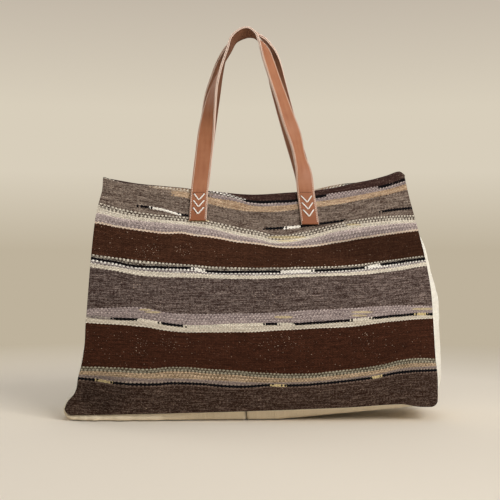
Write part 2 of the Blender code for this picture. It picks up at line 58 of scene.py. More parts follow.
# Body of the bag
LEFT_REACH = 0.2742
RIGHT_REACH = 0.2775
RIM_HEIGHT = 0.3375
BASE_DEPTH = 0.150
BELLY = 0.013
RIM_OPENING = 0.078
SIDE_PULL = 0.019
PULL_START = 0.15
PULL_SHARPNESS = 4
CORNER_RADIUS = 0.010

# Depth of the bag up its height: (share of the rim height, share of the narrowing still to
# come, share of the belly)
DEPTH_PROFILE = [(0.0, 1.0, 0.0), (0.15, 1.0, 0.7), (0.32, 1.0, 1.0), (0.53, 1.0, 0.4),
                 (0.74, 0.68, 0.0), (0.89, 0.3, 0.0), (1.0, 0.0, 0.0), (1.12, -0.1, 0.0)]

# Outlines: (share of the height, share of the reach) up each side of a panel
LEFT_EDGE = [(0.0, 1.0), (0.03, 0.985), (0.06, 0.951), (0.093, 0.9325), (0.135, 0.925),
             (0.186, 0.907), (0.28, 0.888), (0.367, 0.884), (0.424, 0.879), (0.647, 0.864),
             (0.81, 0.848), (0.89, 0.831), (0.95, 0.813), (1.0, 0.809)]
RIGHT_EDGE = [(0.0, 1.0), (0.1, 0.999), (0.14, 0.995), (0.2, 0.986), (0.4, 0.9745), (0.487, 0.9685),
              (0.617, 0.945), (0.745, 0.911), (0.846, 0.882), (0.94, 0.856), (1.0, 0.8415)]

# Bottom seam: (place across from -1 to 1, height). It sags at the right corner.
SEAM_LINE = [(-1.0, 0.0085), (-0.5, 0.0120), (0.0, 0.0160), (0.53, 0.0217), (0.80, 0.0258),
             (0.90, 0.0215), (1.0, 0.0210)]

# Rim line: (place across from -1 to 1, rise above the middle of the rim)
FRONT_RIM = [(-1.0, 0.0265), (-0.86, 0.0175), (-0.6, 0.012), (-0.3, 0.006), (0.0, 0.0),
             (0.25, 0.003), (0.42, 0.0059), (0.58, 0.0118), (0.684, 0.0174), (0.787, 0.0221),
             (0.89, 0.0287), (0.965, 0.0345), (1.0, 0.0295)]
BACK_RIM = [(-1.0, 0.028), (-0.8, 0.0205), (-0.6, 0.0162), (-0.43, 0.0125), (-0.3, 0.0055), (0.0, 0.0),
            (0.25, 0.0048), (0.45, 0.0122), (0.6, 0.0192), (0.7, 0.0217), (0.83, 0.0245), (1.0, 0.0295)]

# Cloth. The inset of the hem is the share of the reach that its ends are drawn in.
KILIM_THICKNESS = 0.0024
STRIPE_RELIEF = 0.0003
HEM_DEPTH = 0.024
CANVAS_THICKNESS = 0.0014
LINING_THICKNESS = 0.0008
GUSSET_INSET = 0.0022
SEAM_GAP = 0.0006
CLEARANCE = 0.0003
LINING_CLEARANCE = 0.0008
LINING_TOP = 0.975
LINING_INSET = 0.0065
CLOTH_DEPTH = KILIM_THICKNESS + STRIPE_RELIEF
FOLD_RADIUS = (CLOTH_DEPTH + LINING_THICKNESS + 2 * LINING_CLEARANCE) / 2
FOLD_REACH = FOLD_RADIUS + KILIM_THICKNESS / 2
HEM_INSET = 0.072

# Gusset: how far it stands out from the side seams, folds in at the top and lifts at the right.
# The profiles are (share of the height, share of the amount). The foot is (place across, share
# of the depth that lies on the floor, roll of the canvas below the seam).
TOP_FOLD = 0.036
BASE_FLAT = 0.86
BASE_FOOT = [(-1.0, 0.985, 0.0045), (-0.6, 0.93, 0.0025), (-0.3, 0.8, 0.0008), (0.0, 0.75, 0.0),
             (0.5, 0.66, 0.0), (1.0, 0.66, 0.0)]
BASE_LIFT_RIGHT = 0.0215
BASE_LIFT_START = 0.12
GUSSET_SEAM_X = -0.006
GUSSET_TOP = 0.97
LEFT_SWELL = [(0.0, 0.55), (0.06, 0.42), (0.12, 0.4), (0.22, 0.5), (0.43, 0.55), (0.52, 0.45), (0.62, 0.2),
              (0.72, 0.0), (1.0, 0.0)]
RIGHT_SWELL = [(0.0, 0.6), (0.07, 0.74), (0.14, 0.87), (0.26, 0.98), (0.35, 0.96), (0.45, 0.85),
               (0.55, 0.62), (0.62, 0.5), (0.7, 0.42), (0.78, 0.21), (0.88, 0.0), (1.0, 0.0)]
SIDE_SWELLS = {-1.0: (0.010, LEFT_SWELL), 1.0: (0.020, RIGHT_SWELL)}
FOLD_PROFILE = [(0.0, 0.0), (0.66, 0.0), (0.78, 0.22), (0.9, 0.72), (1.0, 1.0)]

# Slow waves in the wool, which the solids leave out: their height, how close they come, the share
# and scale of a finer wave, and the share of the half width and the height where they die out
WAVE_HEIGHT = 0.0032
WAVE_ACROSS = 7.0
WAVE_UP = 8.0
WAVE_FINE = (0.35, 2.7)
WAVE_EDGE = 0.3
WAVE_FOOT = 0.09

# Buckles of the canvas in the same way, but with the foot as a share of the side. Then the roll
# below its seam, the waver of its foot, and how square its left shoulder is and up to what height.
CANVAS_WAVE = 0.0038
CANVAS_WAVE_ACROSS = 2.2
CANVAS_WAVE_UP = 13.0
CANVAS_WAVE_FINE = (0.5, 2.6)
CANVAS_WAVE_EDGE = 0.4
CANVAS_WAVE_FOOT = 0.1
ROLL_TOP = 0.65
ROLL_GATHER = 0.8
GATHER_SCALE = 22.0
FOOT_WAVER = 0.09
WAVER_SCALE = 12.0
SHOULDER_POWER = 7
SHOULDER_TOP = 0.3

# Handles: strap, sewn ends, what lies on what, and how far the strap bends past the rim
STRAP_WIDTH = 0.026
LEATHER_THICKNESS = 0.0016
STRAP_ROOT_HEIGHT = RIM_HEIGHT + 0.003
SEWN_LENGTH_LEFT = 0.0445
SEWN_LENGTH_RIGHT = 0.050
SEWN_LEAN_LEFT = 0.0020
SEWN_LEAN_RIGHT = 0.0060
STRAP_SEAT = 0.0007
STRAP_STACK = STRAP_SEAT + 2 * LEATHER_THICKNESS + CLEARANCE
BACKING_OFFSET = STRAP_SEAT + LEATHER_THICKNESS / 2
OUTER_OFFSET = BACKING_OFFSET + LEATHER_THICKNESS + CLEARANCE
APEX_SETBACK = 0.0150

# Handle routes from the left root to the right one:
# (x, height above the roots, twist in degrees)
FRONT_ROUTE = [(-0.0762, 0.0, 0), (-0.0724, 0.034, 0), (-0.0685, 0.067, 4), (-0.0655, 0.090, 16),
               (-0.0620, 0.112, 34), (-0.0590, 0.129, 46), (-0.0560, 0.145, 57),
               (-0.0515, 0.162, 71), (-0.0460, 0.178, 81), (-0.0390, 0.197, 89),
               (-0.0300, 0.217, 99), (-0.0225, 0.2340, 109),
               (-0.0060, 0.2435, 117), (0.0060, 0.2395, 97), (0.0114, 0.2325, 84), (0.0160, 0.2265, 72),
               (0.0203, 0.2180, 60), (0.0255, 0.2030, 52), (0.0355, 0.1725, 49),
               (0.0462, 0.1420, 46), (0.0566, 0.1110, 38), (0.0622, 0.0960, 34),
               (0.0668, 0.0810, 39), (0.0702, 0.0654, 46), (0.0742, 0.0480, 44),
               (0.0784, 0.0348, 31), (0.0815, 0.0195, 12), (0.0838, 0.0, 0)]
BACK_ROUTE = [(-0.0798, 0.0, 0), (-0.0758, 0.030, 0), (-0.0712, 0.069, 4), (-0.0645, 0.114, 14),
              (-0.0590, 0.148, 24), (-0.0515, 0.178, 50), (-0.0435, 0.205, 68),
              (-0.0330, 0.228, 90), (-0.0190, 0.2435, 108), (-0.0010, 0.2490, 117),
              (0.0160, 0.2430, 95), (0.0270, 0.2270, 66), (0.0345, 0.2080, 40),
              (0.0418, 0.1780, 14), (0.0550, 0.1300, 2), (0.0678, 0.0860, 0),
              (0.0783, 0.0510, 0), (0.0850, 0.0250, 0), (0.0885, 0.0, 0)]

# Lacing: three chevrons of cord on each sewn end. A hole's depths are shares of the straps' stack.
CORD_DIAMETER = 0.0019
CORD_FLATTENED = 0.85
LACE_HOLE_DIAMETER = 0.0023
HOLE_DEPTHS = (0.52, 1.6)
CHEVRON_COUNT = 3
CHEVRON_DROP_LEFT = 0.0040
CHEVRON_DROP_RIGHT = 0.0075
CHEVRON_PITCH = 0.0107
CHEVRON_WIDTH = 0.0158
CHEVRON_HEIGHT = 0.0092

# An arm of a chevron from its hole to its foot: (share of the way, height above the bag's face)
CORD_LYING = STRAP_STACK + 0.35 * CORD_DIAMETER
CORD_LINE = [(0.0, STRAP_STACK - 0.0012), (0.02, STRAP_STACK - 0.0002), (0.07, CORD_LYING - 0.0003),
             (0.14, CORD_LYING), (0.35, CORD_LYING + 0.0001), (0.6, CORD_LYING + 0.0001),
             (0.85, CORD_LYING), (0.95, CORD_LYING - 0.0002), (1.0, STRAP_STACK - 0.0002)]

# Sewing thread of the straps. A stitch's shape is (share of its length, lift in thread radii).
STITCH_LINE = STRAP_WIDTH / 2 - 0.0019
STITCH_PITCH = 0.0029
STITCH_LENGTH = 0.0019
THREAD_DIAMETER = 0.0011
GROOVE_DEPTH = 0.00025
GROOVE_WIDTH = 0.0007
STITCH_SHAPE = [(0.0, -1.4), (0.12, 0.1), (0.5, 0.75), (0.88, 0.1), (1.0, -1.4)]
ROOT_STITCH_DROP = 0.0015
ROOT_STITCH_INSET = 0.002

# Weave: a pass of the weft shows on every second warp thread, and the next pass on the others.
# By a share a band's edge keeps to its own line, and otherwise it goes round whole stitches.
WARP_PITCH = 0.0026
WEFT_PITCH = 0.00125
STITCH_NARROWING = 0.6
STITCH_SLANT = 0.22
STITCH_REACH = 0.52
FADE_PASSES = 5
HEM_PASSES = 48
BOTTOM_PASSES = 64
EDGE_FOLLOWING = 0.7
RAGGED_END = 0.005

# Range of the band edges in millimetres, and where a band's mean height is measured
BAND_REACH = 300
BAND_HEIGHT = 440
BAND_PLACES = np.linspace(-210, 230, 45)

# Noises of the wool: scale across and up, detail, roughness, lowest and highest value kept, seed
PASS_WANDER = (26.0, 26.0)
WARP_WANDER = (9.0, 9.0, 1.0)
YARN = (70.0, 0.8, 1.0, 0.5, 0.3, 0.7)
STREAK = (34.0, 1.0, 3.0, 0.65, 0.3, 0.7)
FLECK = (470.0, 900.0, 2.0, 0.6, 0.32, 0.68)
HAIR = (430.0, 620.0, 0.0)
SLOW_TONE = (7.0, 12.0, 1.0, 0.5, 0.3, 0.7, 3.0)
PASS_TONE = (11.0, 0.45, 2.0, 0.5, 0.32, 0.68)
FIBRES = (4200.0, 1500.0)
SECOND_CHANCE_SEED = 7.0

# What the noises do: how far passes wander, how far the warp leans out and wanders, and the
#  weights of what the mottling, the shade (random tone with painted shade of the ribs) and the relief are
#  mixed from
PASSES_MOVED = 1.6
WARP_MOVED = (0.27, 0.012)
MOTTLE_WEIGHTS = (0.15, 0.1, 0.39, 0.36)
MOTTLE_SOFTNESS = 0.24
WOVEN_MOTTLE = 0.9
WOVEN_RANGE = (0.2, 0.86)
SHADE_LEAST = 0.53
SHADE_WEIGHTS = (0.16, 0.38, 0.12, 0.04, 0.28)
# Painted shade in the gaps between stitches: the range of a stitch's height and the shade at each end of it
SUNK_SHADE = (0.0, 0.7, 0.42, 1.09)
RELIEF_WEIGHTS = (0.8, 0.15, 0.15, 0.2)
WOOL_RELIEF = 0.0007

# Patches in the wool: how their edge fades, and how strong each kind is
PATCH_FADE = (1.3, 0.5)
YELLOW_SHARE = 0.55
YELLOW_EDGE = 0.9
HAIR_LEVELS = (0.785, 0.72)
HAIR_SOFTNESS = 0.06
HAIR_SHARE = 0.6
DARK_PATCH_SHADE = 0.72

# Cotton and canvas: pitch of the threads, slubs, uneven tone and the shares of these in the tone.
# Near the floor the canvas is tinted with soil and painted warm shade, and darkened by a painted contact
# shadow where it meets the floor: two heights, then the share at each of them.
CANVAS_PITCH = 0.0011
COTTON_PITCH = 0.0007
SLUB_LONG = 18.0
SLUB_FINE = 900.0
SLUB_RANGE = (0.35, 0.75)
UNEVEN_TONE = (14.0, 14.0, 3.0, 0.5, 0.3, 0.8)
COTTON_WEIGHTS = (0.3, 0.3, 0.4)
GRAIN_SHADE = (0.0, 0.4, 0.88, 1.0)
SOIL_AND_SHADE_BAND = (0.05, 0.006, 0.0, 0.75)
CONTACT_SHADOW_BAND = (0.0028, 0.0006, 0.0, 0.85)
CREASES = (14.0, 75.0, 3.0, 0.6)
CREASE_DEPTH = 0.004
COTTON_RELIEF = 0.0003

# Leather: noises, pores, and where it is deeper in colour (on the sewn ends partly painted shade), each with
# two limits and two shares.
# A finish is the weight of the finest relief, the least and most roughness and the specular level.
CLOUDS = (38.0, 38.0, 4.0, 0.6)
WEAR = (260.0, 22.0, 3.0)
FINE_GRAIN = (2600.0, 2600.0, 3.0, 0.6)
PORE_SCALE = 1100.0
PORE_RANGE = (0.05, 0.6)
CLOUD_RANGE = (0.3, 0.75)
WEAR_RANGE = (0.4, 0.8)
GLOSS_RANGE = (0.3, 0.7)
CLOUD_WEIGHTS = (0.6, 0.3)
DEEPER_AND_SHADED_WHERE_SEWN = (0.004, -0.04, 0.0, 0.9)
DEEPER_AT_STITCHES = (0.0011, 0.0, 0.0, 0.45)
DEEPER_IN_PORES = (0.4, 0.0, 0.0, 0.22)
RAW_EDGE_START = STRAP_WIDTH / 2 - 0.0005
RAW_EDGE_FADE = 0.0003
RAW_EDGE_ROUGHER = 0.12
PORE_WEIGHT = 0.55
WEAR_WEIGHT = 0.4
LEATHER_RELIEF = 0.00022
SMOOTH_FINISH = (0.35, (0.46, 0.58), 0.4)
SUEDE_FINISH = (0.9, (0.85, 0.85), 0.25)

# Thread and cord: turns of the strands in a metre, and how dark it is between them
THREAD_TURNS = 1500.0
CORD_TURNS = 700.0
STRAND_SHADE = 0.55
STRAND_RELIEF = 0.00012

# Studio. A lamp is its name, place, target, size and power.
FLOOR_SIZE = 24.0
FLOOR_FADE = (0.6, 1.3)
FLOOR_GRAIN = (400.0, 400.0)
LIGHT_TINT = (1.0, 0.985, 0.965)
WORLD_STRENGTH = (0.12, 0.46)
LAMPS = [("key", (2.1, -2.4, 2.1), (0.0, 0.0, 0.2), 1.8, 92.0),
         ("fill", (-1.9, 1.2, 0.55), (-0.1, 0.0, 0.1), 0.9, 14.0),
         ("top", (0.1, -0.1, 2.1), (0.0, 0.0, 0.0), 1.6, 11.0)]

# How finely the meshes are divided, with closer rows at free edges and seams
CORNER_STEPS = 9
PANEL_STEPS = 130
FACE_ROWS = [0.0, 0.0006, 0.0017, 0.0034]
FACE_START = 0.008
FACE_STEPS = 138
TURN_STEPS = 12
HEM_ROWS = (0.0, 0.2, 0.4, 0.6, 0.8, 0.95, 0.98, 0.993, 1.0)
LINING_STEPS = (90, 70)
GUSSET_STEPS = (60, 10, 90)
LOOP_STEPS = 170
SEWN_STEPS = (40, 44)
STRAP_TIP = [0.00008, 0.0003, 0.0006]
ROOT_STEPS = 12
BEND_REACH = 0.009
BEND_ROUNDS = 12
UNSTITCHED_ROWS = 5

# Tubes: sides, how far their round ends stand out in radii, and a direction that none runs in
TUBE_SIDES = {"thread": 6, "cord": 12, "hole": 14}
TUBE_CAP = 0.6
TUBE_GUIDE = Vector((0.3, 0.2, 0.9))

# Sides and ends of the bag, small steps for slopes, and what keeps the flat cloth's places above 0
FRONT = -1.0
BACK = 1.0
SIDES = {"front": FRONT, "back": BACK}
ENDS = {"left": -1.0, "right": 1.0}
MEASURE_STEP = 0.0005
SLOPE_STEP = 0.02
FLAT_SHIFT = 1.0


def colour(red, green, blue):
    """Linear colour of an sRGB colour given from 0 to 255."""
    def linear(value):
        share = value / 255
        return share / 12.92 if share <= 0.04045 else ((share + 0.055) / 1.055) ** 2.4
    return (linear(red), linear(green), linear(blue), 1.0)


BROWN = colour(47, 26, 17)
RED_BROWN = colour(82, 49, 35)
EARTH = colour(51, 30, 20)
EARTH_PALE = colour(86, 56, 41)
MAROON = colour(54, 36, 33)
MAROON_PALE = colour(120, 98, 88)
HEATHER = colour(56, 42, 38)
HEATHER_PALE = colour(158, 142, 134)
SOIL = colour(44, 29, 22)
SOIL_PALE = colour(136, 116, 104)
GREY = colour(66, 50, 43)
GREY_PALE = colour(168, 152, 138)
LILAC = colour(98, 85, 85)
LILAC_PALE = colour(198, 182, 176)
PINK_CREAM = colour(204, 178, 156)
CREAM = colour(217, 208, 191)
CREAM_DEEP = colour(150, 134, 116)
WHITE_WOOL = colour(240, 235, 226)
TAN = colour(130, 102, 78)
TAN_PALE = colour(216, 190, 160)
GOLD = colour(104, 86, 62)
MOSS = colour(62, 52, 40)
MOSS_PALE = colour(164, 158, 138)
YELLOW = colour(206, 186, 136)
BLACK = colour(18, 16, 18)

CANVAS_COLOUR = colour(250, 247, 238)
CANVAS_SHADE = colour(236, 226, 204)
CANVAS_SOIL_AND_SHADE = colour(226, 205, 168)
CANVAS_CONTACT_SHADOW = colour(70, 58, 44)
COTTON_COLOUR = colour(224, 216, 198)
COTTON_SHADE = colour(198, 186, 164)
LEATHER = colour(170, 113, 80)
LEATHER_DEEP = colour(136, 77, 43)
# The backing's colours are darker: it is the strap's suede side, and partly painted shade of the handle's
# underside.
LEATHER_INNER = colour(134, 92, 68)
LEATHER_INNER_DEEP = colour(98, 62, 44)
RAW_EDGE = colour(232, 208, 192)
THREAD_COLOUR = colour(232, 210, 192)
DARK_THREAD = colour(112, 66, 44)
CORD_COLOUR = colour(246, 241, 234)
FLOOR_COLOUR = colour(232, 222, 206)
# Wall tones, with painted light and shade: darker near the floor and at the top, brightest at middle height
WALL_LOW = colour(190, 178, 156)
WALL_MIDDLE = colour(216, 206, 187)
WALL_HIGH = colour(192, 181, 166)
WALL_STEEPNESS = 4.0
WALL_TONES = [(0.0, WALL_LOW), (0.3, WALL_MIDDLE), (0.55, WALL_MIDDLE), (1.0, WALL_HIGH)]

# Weaves of a band. Mottled yarn mixes its two colours. The others show the second colour in the
# first of some passes of the weft: (passes of the repeat, contrast, how pale the band begins).
MOTTLED = None
LATTICE = (3.0, 0.2, 0.0)
FADING = (3.0, 0.2, 0.25)
TWISTED = (3.0, 0.42, 0.0)
DOTTED = (3.0, 0.45, 0.0)

# Bands from the rim down: name, main colour, second colour, share of the second, weave, then the
# lower edge as (x, z) in millimetres, or as its distance below the edge above
BANDS = [
    ("hem", MAROON, MAROON_PALE, 0.25, MOTTLED,
     [(-220, 376), (-151, 364), (-100, 356), (-63, 348), (-42, 341), (-23, 334.5),
      (2, 328), (42, 328), (69, 329.5), (100, 335), (143, 341), (194, 349.5), (234, 361.5)]),
    ("line", BLACK, BLACK, 0.0, DOTTED,
     [(-220, 361), (-196, 355.5), (-151, 349.4), (-118, 345.8), (-63, 339.3), (-42, 335.4), (-23, 331),
      (2, 324.2), (42, 324), (69, 325.4), (100, 330.7), (143, 336.8), (194, 345.5), (234, 357.5)]),
    ("rim lilac", LILAC, LILAC_PALE, 0.5, LATTICE,
     [(-220, 359), (-151, 347), (-92, 339), (-63, 333), (-15, 325), (3, 319.6), (42, 319.6), (102, 326),
      (194, 341.6), (234, 352)]),
    ("rim tan", TAN, TAN_PALE, 0.45, MOTTLED,
     [(-220, 357.8), (-188, 349.5), (-166, 342.6), (-148, 338), (-117, 334.3), (-92, 330.5), (-63, 323),
      (-30, 315.2), (3, 310.7), (42, 310.7), (75, 314.8), (128, 321.3), (158, 326.7), (196, 334.3),
      (235, 343.7)]),
    ("grey", GREY, GREY_PALE, 0.42, MOTTLED,
     [(-230, 330), (-195, 323.2), (-150, 318.4), (-130, 314.8), (-108, 308.6), (-75, 304.2), (-30, 296.6),
      (0, 289), (21, 286.6), (52, 288.2), (75, 290.2), (141, 299), (172, 306), (196, 311.8), (245, 318.2)]),
    ("grey dashes", GREY, GREY_PALE, 0.42, MOTTLED, 3.4),
    ("lower grey", GREY, GREY_PALE, 0.42, MOTTLED,
     [(-230, 325.2), (-186, 313), (-145, 306.6), (-82, 300.4), (-15, 286), (15, 280.3), (33, 275.3),
      (80, 279.8), (137, 293.9), (176, 300.6), (245, 304.9)]),
    ("twist", GREY, CREAM, 0.5, DOTTED, 6.7),
    ("cream", CREAM, CREAM_DEEP, 0.35, MOTTLED,
     [(-229, 308.5), (-186, 299.4), (-144, 294.8), (-82, 288.8), (-15, 274.6), (15, 268.6), (33, 263.4),
      (80, 267.9), (137, 282), (176, 288), (245, 293.9)]),
    ("lilac", LILAC, LILAC_PALE, 0.5, FADING,
     [(-229, 295.5), (-194, 288.9), (-164, 284.3), (-119, 279.8), (-104, 280.3), (-82, 276.8), (-52, 273),
      (-15, 267), (15, 263.4), (42, 259.4), (80, 259.4), (137, 267.9), (175, 273.9), (252, 284.4)]),
    ("lilac edge", PINK_CREAM, CREAM, 0.4, MOTTLED, 2.8),
    ("upper brown", EARTH, EARTH_PALE, 0.4, MOTTLED,
     [(-236, 247), (-167, 237.7), (-99, 231.8), (-15, 226.8), (69, 227.7), (155, 231), (193, 236.2),
      (261, 244.6)]),
    ("white twist", SOIL, CREAM, 0.5, TWISTED,
     [(-236, 243), (-193, 235.4), (-179, 232.3), (-126, 229), (-85, 227.8), (-70, 224.7), (15, 222.8),
      (91, 224.4), (168, 229), (190, 232.6), (262, 242)]),
    ("black dashes", BLACK, BLACK, 0.35, MOTTLED, 3.8),
    ("white", LILAC, WHITE_WOOL, 0.6, TWISTED,
     [(-236, 233.7), (-207, 229.3), (-162, 222.7), (-81, 218.4), (15, 215.5), (80, 217.5), (174, 222.4),
      (261, 235)]),
    ("cream below", CREAM, CREAM_DEEP, 0.35, MOTTLED,
     [(-236, 227.3), (-207, 223.4), (-162, 215.4), (-81, 212.2), (15, 210.6), (80, 213.7), (174, 217.6),
      (261, 229.2)]),
    ("heather", HEATHER, HEATHER_PALE, 0.36, MOTTLED,
     [(-240, 166.3), (-195, 168.6), (-166, 169.7), (-126, 162.3), (-97, 159.4), (-29, 160), (15, 160.4),
      (75, 164.3), (149, 168), (206, 170.7), (269, 170)]),
    ("middle lilac", LILAC, LILAC_PALE, 0.5, LATTICE,
     [(-242, 157.6), (-200, 154), (-164, 153), (-132, 148.2), (-96, 143.7), (-29, 145.3), (20, 146.7),
      (61, 146.9), (146, 152), (176, 154.8), (241, 160), (270, 159.9)]),
    ("middle dashes", BLACK, BLACK, 0.35, MOTTLED, 3.8),
    ("middle cream", CREAM, CREAM_DEEP, 0.5, LATTICE,
     [(-241, 145.6), (-205, 144.2), (-155, 140.4), (-107, 133.3), (-77, 133), (15, 133.9), (74, 137.7),
      (149, 141), (205, 148), (270, 152)]),
    ("lower brown", BROWN, RED_BROWN, 0.4, MOTTLED,
     [(-248, 81.9), (-195, 80.8), (-146, 79.3), (-116, 82.3), (-57, 79.4), (15, 74.4), (66, 72.3), (130, 77),
      (187, 84.2), (224, 91.9), (250, 94), (273, 92.3)]),
    ("moss twist", MOSS, MOSS_PALE, 0.5, TWISTED, 6.6),
    ("gold", GOLD, TAN_PALE, 0.5, LATTICE,
     [(-247, 69.8), (-190, 67.4), (-146, 64.6), (-117, 65.8), (-57, 63.2), (0, 60.2), (66, 60.2), (112, 63),
      (187, 71.9), (224, 79.7), (250, 81.6), (274, 81.9)]),
    ("lower lilac", LILAC, GREY_PALE, 0.5, LATTICE,
     [(-253, 66.3), (-224, 63.9), (-202, 60.5), (-140, 57.8), (-116, 60), (-77, 59), (-9, 55), (28, 57.7),
      (47, 57), (112, 60.6), (173, 67.3), (224, 75.9), (274, 77.5)]),
    ("lower dashes", BLACK, BLACK, 0.35, MOTTLED, 3.8),
    ("thin lilac", SOIL, SOIL_PALE, 0.5, LATTICE, 2.3),
    ("bottom heather", SOIL, SOIL_PALE, 0.32, MOTTLED, []),
]


def dashes(other, *ends):
    """Runs of plain black and another pair of colours in turn, by the places where they end."""
    return [(end, (PLAIN_BLACK, other)[i % 2]) for i, end in enumerate(ends)]


# Bands whose colours change along them: (x in millimetres where a run ends, its two colours)
PLAIN_GREY = (GREY, GREY_PALE)
PLAIN_BLACK = (BLACK, BLACK)
PLAIN_WHITE = (WHITE_WOOL, CREAM)
PLAIN_YELLOW = (YELLOW, CREAM_DEEP)
PLAIN_CREAM = (CREAM, CREAM_DEEP)
RUNS = {
    "hem": [(-118, PLAIN_GREY), (-60, (TAN, CREAM)), (226, (MAROON, MAROON_PALE)), (240, PLAIN_GREY)],
    "line": [(-150, (BLACK, CREAM)), (-80, (TAN, CREAM)), (-10, (GREY, WHITE_WOOL)), (113, PLAIN_BLACK),
             (190, (LILAC, LILAC_PALE)), (240, PLAIN_BLACK)],
    "rim lilac": [(-150, PLAIN_GREY), (-85, (TAN, CREAM)), (-60, PLAIN_GREY), (240, (LILAC, LILAC_PALE))],
    "rim tan": [(-118, PLAIN_GREY), (240, (TAN, TAN_PALE))],
    "grey dashes": [(-171, PLAIN_GREY), *dashes(PLAIN_WHITE, -148, -107, -91), (21, PLAIN_GREY),
                    *dashes(PLAIN_WHITE, 51, 73, 141), (195, PLAIN_GREY), (250, PLAIN_BLACK)],
    "black dashes": dashes(PLAIN_WHITE, -85, -70, 44, 91, 169, 191, 270),
    "middle dashes": [(-203, (LILAC, CREAM)), *dashes(PLAIN_CREAM, -167, -134, -97, 21, 38, 62, 148, 178),
                      *dashes(PLAIN_YELLOW, 243, 260, 280)],
    "lower dashes": dashes(PLAIN_YELLOW, -227, -205, 29, 47, 177, 192, 280),
}

# Oval patches: x, z, half width and half height in millimetres. Some hold yellow stitches, some are
#  painted shade that darkens the wool, and in some pale hairs show in the dark wool.
YELLOW_PATCHES = [(-77, 297, 17, 1.8), (55, 272, 30, 2.2), (55, 267, 18, 1.5), (155, 291, 12, 1.5),
                  (-153, 165.5, 10, 1.6), (-142, 162, 12, 1.6), (49, 155, 14, 2.0), (165, 162, 16, 1.6),
                  (160, 157, 12, 1.5), (256, 166, 18, 1.8)]
SHADED_PATCHES = [(205, 258, 95, 24), (-215, 45, 40, 30)]
HAIRY_PATCHES = [(-158, 112, 14, 16), (-120, 118, 18, 14), (-150, 252, 24, 12), (-98, 252, 16, 10),
                 (172, 124, 14, 12), (45, 118, 40, 14), (-160, 205, 40, 6), (30, 185, 30, 8)]


def through(points, place, column=1):
    """Smooth curve through rows that are sorted by their first number, read at a place."""
    if place <= points[0][0]:
        return points[0][column]
    if place >= points[-1][0]:
        return points[-1][column]
    last = len(points) - 1
    step = max(i for i in range(last) if points[i][0] <= place)
    start, end = points[step], points[step + 1]
    span = end[0] - start[0]

    def slope(i):
        low, high = max(i - 1, 0), min(i + 1, last)
        return (points[high][column] - points[low][column]) / (points[high][0] - points[low][0])

    t = (place - start[0]) / span
    rise = end[column] - start[column]
    first, second = slope(step) * span, slope(step + 1) * span
    return (start[column] + first * t + (3 * rise - 2 * first - second) * t * t
            + (first + second - 2 * rise) * t * t * t)


def evenly(start, end, count):
    """Numbers from start to end in equal steps."""
    return [start + (end - start) * i / count for i in range(count + 1)]


def smooth(share):
    """Ease from 0 to 1."""
    share = max(0.0, min(1.0, share))
    return share * share * (3 - 2 * share)


def reach(across):
    """Half width of the bag on the side that a place across lies on."""
    return RIGHT_REACH if across > 0 else LEFT_REACH


def seam_height(across):
    """Height of the bottom seam, rounded up into the side seam at each corner."""
    width = reach(across)
    overhang = max(0.0, abs(across * width) - (width - CORNER_RADIUS))
    drop = math.sqrt(max(0.0, CORNER_RADIUS ** 2 - overhang ** 2))
    return through(SEAM_LINE, across) + CORNER_RADIUS - drop


def outline(side, across, up, inset=0.0):
    """Place (x, z) on a panel: across -1 to 1, up 0 to 1 from the bottom seam to the rim."""
    taper = through(RIGHT_EDGE if across > 0 else LEFT_EDGE, up)
    x = across * (reach(across) * taper - inset)
    low = seam_height(across) + inset
    rim = RIM_HEIGHT + through(FRONT_RIM if side == FRONT else BACK_RIM, across)
    return x, low + (rim - FOLD_REACH - low) * up


def ripple(place, fine_share, fine_scale):
    """Noise at a place, with a finer noise added to it."""
    return noise.noise(place) + fine_share * noise.noise(place * fine_scale)


def wave(side, x, z):
    """Slow waves of a panel, which die out toward its seams."""
    fade = smooth((1 - abs(x) / reach(x)) / WAVE_EDGE) * smooth(z / WAVE_FOOT)
    return WAVE_HEIGHT * fade * ripple(Vector((x * WAVE_ACROSS, 3 * side, z * WAVE_UP)), *WAVE_FINE)


def cloth_depth(side, x, z):
    """Distance of the outer face of a panel from the middle plane of the bag."""
    share = z / RIM_HEIGHT
    narrowing = (BASE_DEPTH - RIM_OPENING) / 2 * through(DEPTH_PROFILE, share, 1)
    belly = BELLY * through(DEPTH_PROFILE, share, 2)
    toward_edge = min(1.0, abs(x) / reach(x)) ** PULL_SHARPNESS
    pull = SIDE_PULL * math.sin(math.pi * min(1.0, PULL_START + share * (1 - PULL_START)))
    return RIM_OPENING / 2 + narrowing + belly - pull * toward_edge + wave(side, x, z)


def cloth_point(side, x, z, offset=0.0):
    """Point on a panel's outer face, moved out along the face's normal."""
    step = MEASURE_STEP
    slope_x = (cloth_depth(side, x + step, z) - cloth_depth(side, x - step, z)) / (2 * step)
    slope_z = (cloth_depth(side, x, z + step) - cloth_depth(side, x, z - step)) / (2 * step)
    normal = Vector((-slope_x, 1.0, -slope_z)).normalized()
    point = Vector((x, cloth_depth(side, x, z), z)) + normal * offset
    return Vector((point.x, side * point.y, point.z))


def new_object(name, mesh, material):
    """Link a mesh as a smooth piece with its material."""
    mesh.materials.append(material)
    mesh.shade_smooth()
    piece = bpy.data.objects.new(name, mesh)
    bpy.context.scene.collection.objects.link(piece)
    return piece


def sewn_piece(name, mesh, material, slot, *nodes):
    """Piece that is sewn to the bag and stands for some of its nodes."""
    piece = new_object(name, mesh, material)
    if nodes:
        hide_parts(*nodes)
    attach(piece, "bag")


def sewn_sheet(name, node, material, slot, *sheet):
    """Sheet that is sewn to the bag and stands for a node."""
    sewn_piece(name, sheet_mesh(name, *sheet), material, slot, node)


